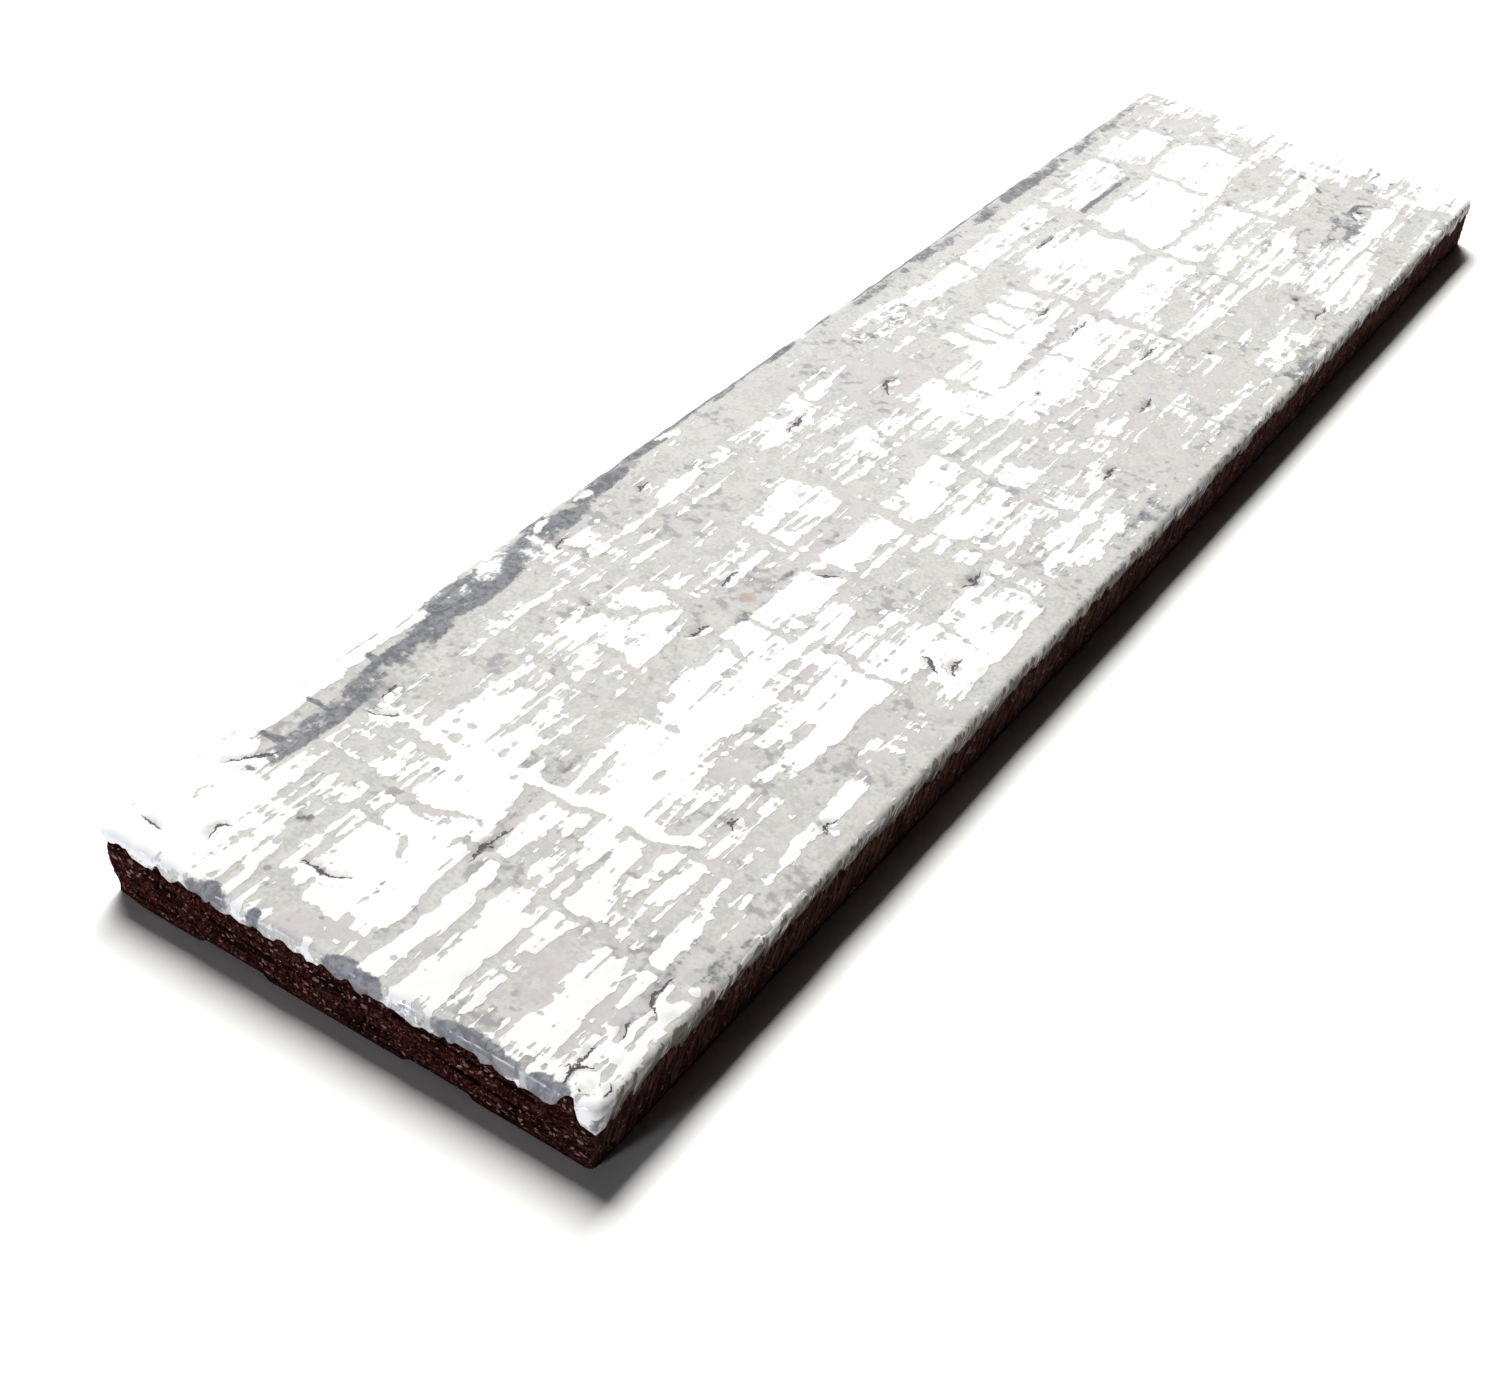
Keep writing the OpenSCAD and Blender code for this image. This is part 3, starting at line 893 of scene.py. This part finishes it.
def glaze_relief(flat, arc, plate, sunk, crumbled):
    """Height of the glaze over its mean surface: waves, raised plates, pits, and a rough lip."""
    on_lip = eased(arc, 0.0, 1.0)
    relief = layered(flat, WAVE_LAYERS) + PLATE_RISE * eased(plate, -0.5, 0.25) - sunk
    relief = relief + crumbled * layered(flat, CRUMBLED_RELIEF) + on_lip * layered(flat, LIP_RELIEF)
    return np.clip(relief - RELIEF_TOP, -RELIEF_DEEPEST, 0) * (1 - (1 - RELIEF_ON_LIP) * on_lip)


def slate_pattern(flat, arc, plate, near_end):
    """Where the glaze is thin and slate-coloured: in patches on the near lip, and in the named areas."""
    slate = 0.5 * eased(layered(flat, SLATE_PATCHES), 0.45, 0.8) * eased(arc, 0.1, 0.7) * near_end
    uneven = layered(flat, SLATE_EDGES)
    for x, y, reach_x, reach_y, strength in SLATES:
        slate = np.maximum(slate, patch(flat, x, y, reach_x, 1.3 * reach_y) * (strength + uneven))
    for half_width, points in SLATE_STROKES:
        away = line_distance(flat, points) + 0.3 * half_width * uneven
        slate = np.maximum(slate, 1 - eased(away, 0.2 * half_width, 2.0 * half_width))
    return slate * (1 - 0.7 * eased(plate, 0.2, 0.9) * (arc < 0.3))


def thin_pattern(flat, arc, share, near_end, crumbled):
    """How thin the glaze is: more towards the lip's lower edge, in streaks, and less on the near end."""
    streaks = rough(np.column_stack([flat[:, 0] + 0.6 * arc, flat[:, 1]]), (0.7, 3.0), 37)
    thin = eased(share + 0.4 * streaks, 0.0, 0.75) * eased(arc, 0.0, 0.8)
    return thin * (1 - 0.75 * near_end) * (1 - crumbled)


def stain_pattern(flat):
    """Strength of the stains."""
    stain = np.zeros(len(flat))
    for x, y, radius in STAINS:
        away = np.hypot(flat[:, 0] - x, flat[:, 1] - y)
        stain = np.maximum(stain, STAIN_STRENGTH * (1 - eased(away, 0.6 * radius, radius)))
    return stain


def glaze_piece():
    """The glaze: a closed coat over the face, rolled down over the arris."""
    shell = Shell(ARRIS_R, GLAZE_COLUMNS, GLAZE_ROWS)
    rings, turned = glaze_rim(shell)
    face_count = len(shell.grid)
    top = np.column_stack([shell.grid, np.full(face_count, SLIP_T)])
    shown = np.concatenate([top] + rings[:LIP_ROWS])
    upward = np.tile((0.0, 0.0, 1.0), (face_count, 1))
    facing = np.concatenate([upward] + [ring[0] for ring in turned])
    flat = np.concatenate([shell.grid] + [ring[1] for ring in turned])
    arc = np.concatenate([np.zeros(face_count)] + [ring[2] for ring in turned])
    share = np.concatenate([np.zeros(face_count)] + [ring[3] for ring in turned])

    pits, pit = pit_marks(flat)
    beside, crack, crack_side = crack_run(flat)
    white, raised = white_lumps_and_glints(flat)
    flake = crack * eased(-crack_side, 0.1, 0.4) * (1 - eased(-crack_side, 0.7, 1.3))
    flake = flake * (rough(flat, (1.2, 1.2), 27) > -0.3)
    # The lumps' white is partly a painted highlight on their raised rims
    plate = glaze_pattern(flat) + FLAKE_WHITE * flake + LUMP_WHITE_AND_GLINT * white
    crumbled = patch(flat, *CRUMBLED)
    relief = glaze_relief(flat, arc, plate, np.maximum(pits, beside) - raised, crumbled)
    shown = shown + facing * relief[:, None]
    shown[:, 0] = np.clip(shown[:, 0], -SLIP_L / 2, SLIP_L / 2)
    shown[:, 1] = np.clip(shown[:, 1], -SLIP_W / 2, SLIP_W / 2)
    near_end = eased(SLIP_L / 2 + shown[:, 0], *NEAR_LIP)

    marks = {
        "plate": plate,
        "pit": pit,
        "crack": crack,
        "crack_side": crack_side,
        "slate": slate_pattern(flat, arc, plate, near_end),
        "thin": thin_pattern(flat, arc, share, near_end, crumbled),
        "stain": stain_pattern(flat),
    }
    hidden = np.concatenate(rings[LIP_ROWS:])
    attributes = {key: np.concatenate([values, np.full(len(hidden), float(key == "thin"))])
                  for key, values in marks.items()}
    places = np.concatenate([shown, hidden])
    faces = shell.faces(len(rings), flipped=False)
    return make_piece("glaze_coat", places, faces, attributes, glaze_material())


# The clay: sizes in mm

# Quads along and across the back, and rings of quads up the sides
CLAY_COLUMNS = 440
CLAY_ROWS = 140
WALL_ROWS = 20
# How far the clay's sides stand back from the slip's outer size, and the broken edge of the foot
CLAY_OUT = 0.11
FOOT_H = 0.4
FOOT_IN = 0.05
# The shoulder where the clay narrows under the lip: how far in, and from what height to what height
SHOULDER_IN = 0.40
SHOULDER_FROM = 4.9
SHOULDER_TO = 6.1
# The clay's lid, hidden in the glaze, and how far the walls stay below and outside it
CLAY_TOP = 7.3
LID_DOWN = 0.3
LID_INSET = 0.4
# Cracks in the near end: points across and up
END_CRACKS = [
    [(-7, 5.3), (-15, 4.7), (-23, 4.4)], [(-11, 3.0), (-17, 2.5), (-24, 2.3)],
    [(-2.6, 3.8), (-3.4, 2.4), (-3.0, 0.8)], [(16, 3.6), (8, 3.2)], [(24, 4.6), (20, 4.3)],
    [(3, 4.4), (-1, 4.2)], [(-18, 5.9), (-22, 5.6)],
]
# Crumbs of the clay, as random layers
CRUMB_LAYERS = [(0.5, (3.0, 3.0, 3.0), 51), (0.35, (1.1, 1.1, 1.1), 52), (0.25, (0.6, 0.6, 0.5), 53)]
# Depth in mm of the crumbs, of the drag marks in the sides and of the cracks in the end
CRUMB_D = 0.20
DRAG_D = 0.14
CRACK_D = 0.2
# Height of the clay's relief that lies at its outer size, and the span that the relief is held to
CLAY_RELIEF_TOP = 0.11
CLAY_RELIEF = (-0.6, -0.01)
# How far the foot's torn edge lifts
TORN_UP = 0.3
# Slant of the drag marks on the long sides, as mm along for each mm up
SIDE_LEAN = 0.35
# The foot is broken away under the near-left corner: place, reach, height, depth and way inward
CHIP_AT = (-124.8, 29.8)
CHIP_REACH = 6.0
CHIP_HEIGHT = 6.0
CHIP_DEPTH = 1.6
CHIP_WAY = (0.2, -1.0)
# Keying grooves: their middles across, half width, depth, and the share of it left at the smeared ends
GROOVE_AT = (-12.5, 12.5)
GROOVE_HALF = 3.8
GROOVE_D = 1.4
GROOVE_END_SHARE = 0.4


def back_height(flat):
    """Height of the keyed back: 0 on the lands and up in the grooves, which are smeared over at both ends."""
    height = np.zeros(len(flat))
    inside = eased(SLIP_L / 2 - np.abs(flat[:, 0]), 0.8, 3.5)
    deep = GROOVE_D * (GROOVE_END_SHARE + (1 - GROOVE_END_SHARE) * inside)
    for middle in GROOVE_AT:
        away = np.abs(flat[:, 1] - middle) + 0.3 * rough(flat, (1.5, 1.5), 58)
        height = np.maximum(height, deep * (1 - eased(away, GROOVE_HALF - 0.15, GROOVE_HALF + 0.3)))
    return height


def clay_walls(shell, back_edge):
    """Rings of the clay from its foot up to its head under the glaze, and the edge of its lid."""
    rings = []
    for k in range(1, WALL_ROWS + 1):
        height = back_edge + (CLAY_TOP - LID_DOWN - back_edge) * k / WALL_ROWS
        foot = FOOT_IN * (1 - eased(height, 0.0, FOOT_H))
        shoulder = SHOULDER_IN * eased(height, SHOULDER_FROM, SHOULDER_TO)
        rings.append(np.column_stack([shell.ring(shell.inset - CLAY_OUT - foot - shoulder), height]))
    lid = shell.ring(shell.inset - CLAY_OUT - SHOULDER_IN - LID_INSET)
    return rings, np.column_stack([lid, np.full(len(back_edge), CLAY_TOP)])


def leaned(places):
    """Places with the slant of the long sides' drag marks taken out."""
    return places @ np.array([[1, 0, 0], [0, 1, 0], [-SIDE_LEAN, 0, 1]])


def end_cracks(places):
    """Strength of the cracks in the near end."""
    crack = np.zeros(len(places))
    uneven = 0.15 * rough(places, (0.8, 0.8, 0.8), 57)
    for line in END_CRACKS:
        near = line_distance(places[:, 1:], line) + uneven
        crack = np.maximum(crack, (1 - near / CRACK_FAR) * (places[:, 0] < -SLIP_L / 2 + 2))
    return crack


def clay_relief(places, on_wall, on_end, crack):
    """Depth of the crumbs, drag marks and cracks in the clay, as a height below 0."""
    end_drags = rough(places, (3.0, 9.0, 0.55), 54)
    side_drags = rough(leaned(places), (0.7, 3.0, 5.0), 55)
    drags = end_drags * on_end + 0.5 * side_drags * (1 - on_end)
    relief = (CRUMB_D * layered(places, CRUMB_LAYERS) + DRAG_D * drags) * (0.35 + 0.65 * on_wall)
    return np.clip(relief - CLAY_RELIEF_TOP, *CLAY_RELIEF) - CRACK_D * eased(crack, 0.7, 0.95)


def chipped(places):
    """Places with the foot pushed in where it is broken away under the near-left corner."""
    away = np.hypot(places[:, 0] - CHIP_AT[0], places[:, 1] - CHIP_AT[1])
    low = np.clip(1 - places[:, 2] / CHIP_HEIGHT, 0, 1)
    chip = CHIP_DEPTH * (1 - eased(away, 0.5, CHIP_REACH)) * low
    return places + chip[:, None] * np.array(CHIP_WAY + (0.0,))


def clay_piece(material):
    """The fired clay: keyed back, broken foot and dragged walls, closed by a lid under the glaze."""
    shell = Shell(CLAY_OUT + FOOT_IN, CLAY_COLUMNS, CLAY_ROWS)
    back = np.column_stack([shell.grid, back_height(shell.grid)])
    rings, lid = clay_walls(shell, back[shell.rim, 2])
    places = np.concatenate([back] + rings)
    sideways = np.column_stack([shell.rim_out, np.zeros(len(shell.rim_out))])
    facing = np.concatenate([np.tile((0.0, 0.0, -1.0), (len(back), 1))] + [sideways] * WALL_ROWS)
    share = np.repeat(np.arange(WALL_ROWS + 1) / WALL_ROWS, [len(back)] + [len(lid)] * WALL_ROWS)
    on_wall = eased(share, 0.0, 0.1)
    on_end = facing[:, 0] ** 2
    crack = end_cracks(places)
    relief = clay_relief(places, on_wall, on_end, crack)

    lay = np.where((on_end > 0.5)[:, None], places[:, [1, 2, 0]], leaned(places)[:, [2, 0, 1]])
    lay = np.where((share == 0)[:, None], places, lay)
    places = places + facing * relief[:, None]
    torn = (1 - eased(share, 0.0, 0.22)) * eased(rough(places, (1.6, 1.6, 9), 56), -0.1, 0.8) * on_wall
    places[:, 2] = np.maximum(places[:, 2] + TORN_UP * torn, 0.0)
    places = chipped(places)

    marks = {
        # Painted shade where the clay's relief is deepest
        "hollow_shade": 0.75 * eased(-relief, 0.34, 0.6),
        "crack": crack,
        "wash": eased(-facing[:, 1], 0.5, 1.0) * (0.6 + 0.35 * eased(places[:, 2], 3.0, 7.0)),
    }
    attributes = {key: np.concatenate([values, np.zeros(len(lid))]) for key, values in marks.items()}
    attributes["lay"] = np.concatenate([lay, lid]) * MM
    places = np.concatenate([places, lid])
    faces = shell.faces(WALL_ROWS + 1, flipped=True)
    return make_piece("clay_body", places, faces, attributes, material)


# Grog grains, scattered over the clay's walls

GRAIN_SEED = 3
GRAINS_PER_M2 = 1.3e6
# Share of that number on the long sides, and how much rarer long grains are than short ones
SHARE_ON_SIDES = 0.4
SCARCITY = 2.6
# Half lengths of the shortest and the longest grain, along, across and out
GRAIN_SHORTEST = (0.07 * MM, 0.05 * MM, 0.04 * MM)
GRAIN_LONGEST = (0.38 * MM, 0.17 * MM, 0.11 * MM)
# Most that a grain is turned from level, in radians about each of its axes
GRAIN_TURN = (0.2, 0.2, 0.9)
GRAIN_LOWEST = 0.5 * MM
GRAIN_HIGHEST = 6.7 * MM
GRAIN_SOCKETS = [
    ("Surface", "Geometry"), ("Grains per m2", "Float"), ("Share on sides", "Float"),
    ("Shortest", "Vector"), ("Longest", "Vector"), ("Scarcity", "Float"), ("Lowest", "Float"),
    ("Highest", "Float"), ("Seed", "Int"), ("Finish", "Material"),
]


def grain_density(tree, given):
    """Grains for each square metre, fewer on the long sides than on the ends."""
    normal = tree.nodes.new("GeometryNodeInputNormal").outputs[0]
    across = add(tree, "ShaderNodeSeparateXYZ", {0: normal}).outputs["Y"]
    spans = {"From Min": 0.4, "From Max": 0.9, "To Min": 1.0, "To Max": given["Share on sides"]}
    on_side = calculate(tree, "ABSOLUTE", across)
    share = add(tree, "ShaderNodeMapRange", {"Value": on_side, **spans}).outputs[0]
    return calculate(tree, "MULTIPLY", share, given["Grains per m2"])


def between_heights(tree, given):
    """Whether a place is between the lowest and the highest grain."""
    place = tree.nodes.new("GeometryNodeInputPosition").outputs[0]
    height = add(tree, "ShaderNodeSeparateXYZ", {0: place}).outputs["Z"]
    lowest, highest = {0: height, 1: given["Lowest"]}, {0: height, 1: given["Highest"]}
    above = add(tree, "FunctionNodeCompare", lowest, operation="GREATER_THAN").outputs[0]
    below = add(tree, "FunctionNodeCompare", highest, operation="LESS_THAN").outputs[0]
    return add(tree, "FunctionNodeBooleanMath", {0: above, 1: below}, operation="AND").outputs[0]


def grain_size(tree, given):
    """Half lengths of a grain: mostly near the shortest, and now and then near the longest."""
    chance = add(tree, "FunctionNodeRandomValue", {"Seed": given["Seed"]}, data_type="FLOAT").outputs[1]
    bulk = calculate(tree, "POWER", chance, given["Scarcity"])
    ends = {0: bulk, 4: given["Shortest"], 5: given["Longest"]}
    return add(tree, "ShaderNodeMix", ends, data_type="VECTOR").outputs[1]


def grain_turn(tree, given, normal):
    """Turn of a grain: flat on the surface and level along it, give or take a little."""
    least = tuple(-angle for angle in GRAIN_TURN)
    spans = {0: least, 1: GRAIN_TURN, "Seed": given["Seed"]}
    spin = add(tree, "FunctionNodeRandomValue", spans, data_type="FLOAT_VECTOR").outputs[0]
    up = {0: normal, 1: (0.0, 0.0, 1.0)}
    along = add(tree, "ShaderNodeVectorMath", up, operation="CROSS_PRODUCT").outputs[0]
    axes = {0: normal, 1: along}
    level = add(tree, "FunctionNodeAxesToRotation", axes, primary_axis="Z", secondary_axis="X").outputs[0]
    return add(tree, "FunctionNodeRotateRotation", {0: level, 1: spin}, rotation_space="LOCAL").outputs[0]


def grain_scatter():
    """Geometry nodes that set grains in a surface, between two heights, and make them one mesh."""
    tree = bpy.data.node_groups.new("scatter_grog", "GeometryNodeTree")
    for name, kind in GRAIN_SOCKETS:
        tree.interface.new_socket(name, in_out="INPUT", socket_type="NodeSocket" + kind)
    tree.interface.new_socket("Grains", in_out="OUTPUT", socket_type="NodeSocketGeometry")
    given = tree.nodes.new("NodeGroupInput").outputs
    scatter = add(tree, "GeometryNodeDistributePointsOnFaces", {
        "Mesh": given["Surface"], "Selection": between_heights(tree, given),
        "Density": grain_density(tree, given), "Seed": given["Seed"]}).outputs
    grain = add(tree, "GeometryNodeMeshIcoSphere", {"Radius": 1.0, "Subdivisions": 1}).outputs["Mesh"]
    set_in = add(tree, "GeometryNodeInstanceOnPoints", {
        "Points": scatter["Points"], "Instance": grain,
        "Rotation": grain_turn(tree, given, scatter["Normal"]), "Scale": grain_size(tree, given)}).outputs[0]
    whole = add(tree, "GeometryNodeRealizeInstances", {"Geometry": set_in}).outputs[0]
    finish = {"Geometry": whole, "Material": given["Finish"]}
    finished = add(tree, "GeometryNodeSetMaterial", finish).outputs[0]
    tree.links.new(finished, tree.nodes.new("NodeGroupOutput").inputs[0])
    return tree


def grog_piece(clay):
    """The larger grains of grog, half sunk in the clay's walls."""
    source = bpy.data.objects.new("grog_source", clay.data.copy())
    bpy.context.collection.objects.link(source)
    modifier = source.modifiers.new("scatter_grog", "NODES")
    modifier.node_group = grain_scatter()
    values = {
        "Grains per m2": GRAINS_PER_M2, "Share on sides": SHARE_ON_SIDES, "Scarcity": SCARCITY,
        "Shortest": GRAIN_SHORTEST, "Longest": GRAIN_LONGEST, "Lowest": GRAIN_LOWEST,
        "Highest": GRAIN_HIGHEST, "Seed": GRAIN_SEED, "Finish": grog_material(),
    }
    for item in modifier.node_group.interface.items_tree:
        if item.in_out == "INPUT" and item.name in values:
            modifier[item.identifier] = values[item.name]
    graph = bpy.context.evaluated_depsgraph_get()
    mesh = bpy.data.meshes.new_from_object(source.evaluated_get(graph), depsgraph=graph)
    bpy.data.objects.remove(source)
    mesh.name = "grog_grains"
    piece = bpy.data.objects.new("grog_grains", mesh)
    bpy.context.collection.objects.link(piece)
    return finish_piece(piece)


# Floor, world and lamps

FLOOR_HALF = 3.0
# Distance from the slip's middle at which the floor starts to pass into the white backdrop, and ends
FLOOR_FADES = 0.25
FLOOR_GONE = 0.6
FLOOR_SEEN = (1.15, 1.14, 1.12, 1)
FLOOR_LIT = (0.75, 0.75, 0.75, 1)
BACKDROP = (1.0, 1.0, 1.0, 1)
AMBIENT = (0.88, 0.93, 1.0, 1)
AMBIENT_LEVEL = 0.002
LAMPS_AWAY = 3.0
# The window behind the far end: azimuth and elevation in degrees
WINDOW_AT = (42, 36)
WINDOW_SIZE = (2.6, 1.9)
WINDOW_WATTS = 18.0
WINDOW_COLOUR = (0.90, 0.94, 1.0)
# The softbox overhead, which faces straight down
KEY_PLACE = (1.2, 1.12, 2.0)
KEY_SIZE = (1.7, 0.76)
KEY_WATTS = 108.0
KEY_COLOUR = (1.0, 0.99, 0.965)
# The low fill on the near end: azimuth and elevation in degrees
FILL_AT = (165, 2.3)
FILL_LEVEL = 3.2
FILL_SOFT = math.radians(12.0)
FILL_COLOUR = (0.90, 0.93, 1.0)


def set_floor():
    """A plain pale floor at the level of the back, white to the camera and with the slip's shadow on it."""
    mesh = bpy.data.meshes.new("floor")
    corners = [(x * FLOOR_HALF, y * FLOOR_HALF, 0) for x, y in ((-1, -1), (1, -1), (1, 1), (-1, 1))]
    mesh.from_pydata(corners, [], [(0, 1, 2, 3)])
    floor = bpy.data.objects.new("floor", mesh)
    bpy.context.collection.objects.link(floor)
    material = bpy.data.materials.new("floor")
    material.use_nodes = True
    tree = material.node_tree
    tree.nodes.clear()
    seen = add(tree, "ShaderNodeLightPath").outputs["Is Camera Ray"]
    colour = blend(tree, seen, FLOOR_LIT, FLOOR_SEEN)
    top = add(tree, "ShaderNodeBsdfDiffuse", {"Color": colour}).outputs[0]
    under = tree.nodes.new("ShaderNodeBsdfTransparent").outputs[0]
    below = tree.nodes.new("ShaderNodeNewGeometry").outputs["Backfacing"]
    place = add(tree, "ShaderNodeNewGeometry").outputs["Position"]
    away = add(tree, "ShaderNodeVectorMath", {0: place}, operation="LENGTH").outputs["Value"]
    faded = calculate(tree, "MULTIPLY", seen, stepped(tree, away, FLOOR_FADES, FLOOR_GONE))
    gone = calculate(tree, "MAXIMUM", below, faded)
    surface = add(tree, "ShaderNodeMixShader", {0: gone, 1: top, 2: under}).outputs[0]
    tree.links.new(surface, tree.nodes.new("ShaderNodeOutputMaterial").inputs["Surface"])
    mesh.materials.append(material)


def set_world():
    """A white backdrop for the camera and for reflections, and a low, even light for the rest."""
    world = bpy.data.worlds.new("studio")
    world.use_nodes = True
    tree = world.node_tree
    path = add(tree, "ShaderNodeLightPath").outputs
    straight = calculate(tree, "MAXIMUM", path["Is Camera Ray"], path["Is Glossy Ray"])
    straight = calculate(tree, "MAXIMUM", straight, path["Is Transmission Ray"])
    background = tree.nodes["Background"]
    tree.links.new(blend(tree, straight, AMBIENT, BACKDROP), background.inputs["Color"])
    tree.links.new(stepped(tree, straight, 0.0, 1.0, AMBIENT_LEVEL, 1.0), background.inputs["Strength"])
    bpy.context.scene.world = world


def area_light(name, size, watts, colour):
    """An area light's data."""
    data = bpy.data.lights.new(name, "AREA")
    data.shape = "RECTANGLE"
    data.size, data.size_y = size
    data.energy = watts
    data.color = colour
    return data


def hang_lamp(data):
    """A lamp in the scene, at the origin and facing straight down."""
    lamp = bpy.data.objects.new(data.name, data)
    bpy.context.collection.objects.link(lamp)
    return lamp


def aim_lamp(lamp, azimuth, elevation):
    """Stands a lamp off the middle of the slip and aims it there. Azimuth is from +X towards +Y."""
    turn, rise = math.radians(azimuth), math.radians(elevation)
    toward = Vector((math.cos(turn) * math.cos(rise), math.sin(turn) * math.cos(rise), math.sin(rise)))
    lamp.location = toward * LAMPS_AWAY
    lamp.rotation_euler = toward.to_track_quat("Z", "Y").to_euler()


def set_lights():
    """A softbox overhead, a wide window behind the far end, and a low cool fill on the near end."""
    aim_lamp(hang_lamp(area_light("window", WINDOW_SIZE, WINDOW_WATTS, WINDOW_COLOUR)), *WINDOW_AT)
    softbox = hang_lamp(area_light("key", KEY_SIZE, KEY_WATTS, KEY_COLOUR))
    softbox.location = KEY_PLACE
    softbox.visible_glossy = False
    fill = bpy.data.lights.new("fill", "SUN")
    fill.energy = FILL_LEVEL
    fill.angle = FILL_SOFT
    fill.color = FILL_COLOUR
    aim_lamp(hang_lamp(fill), *FILL_AT)


def main():
    """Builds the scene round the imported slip."""
    set_floor()
    set_world()
    set_lights()
    glaze_piece()
    grog_piece(clay_piece(clay_material()))


main()
bpy.context.scene.view_settings.view_transform = "Standard"
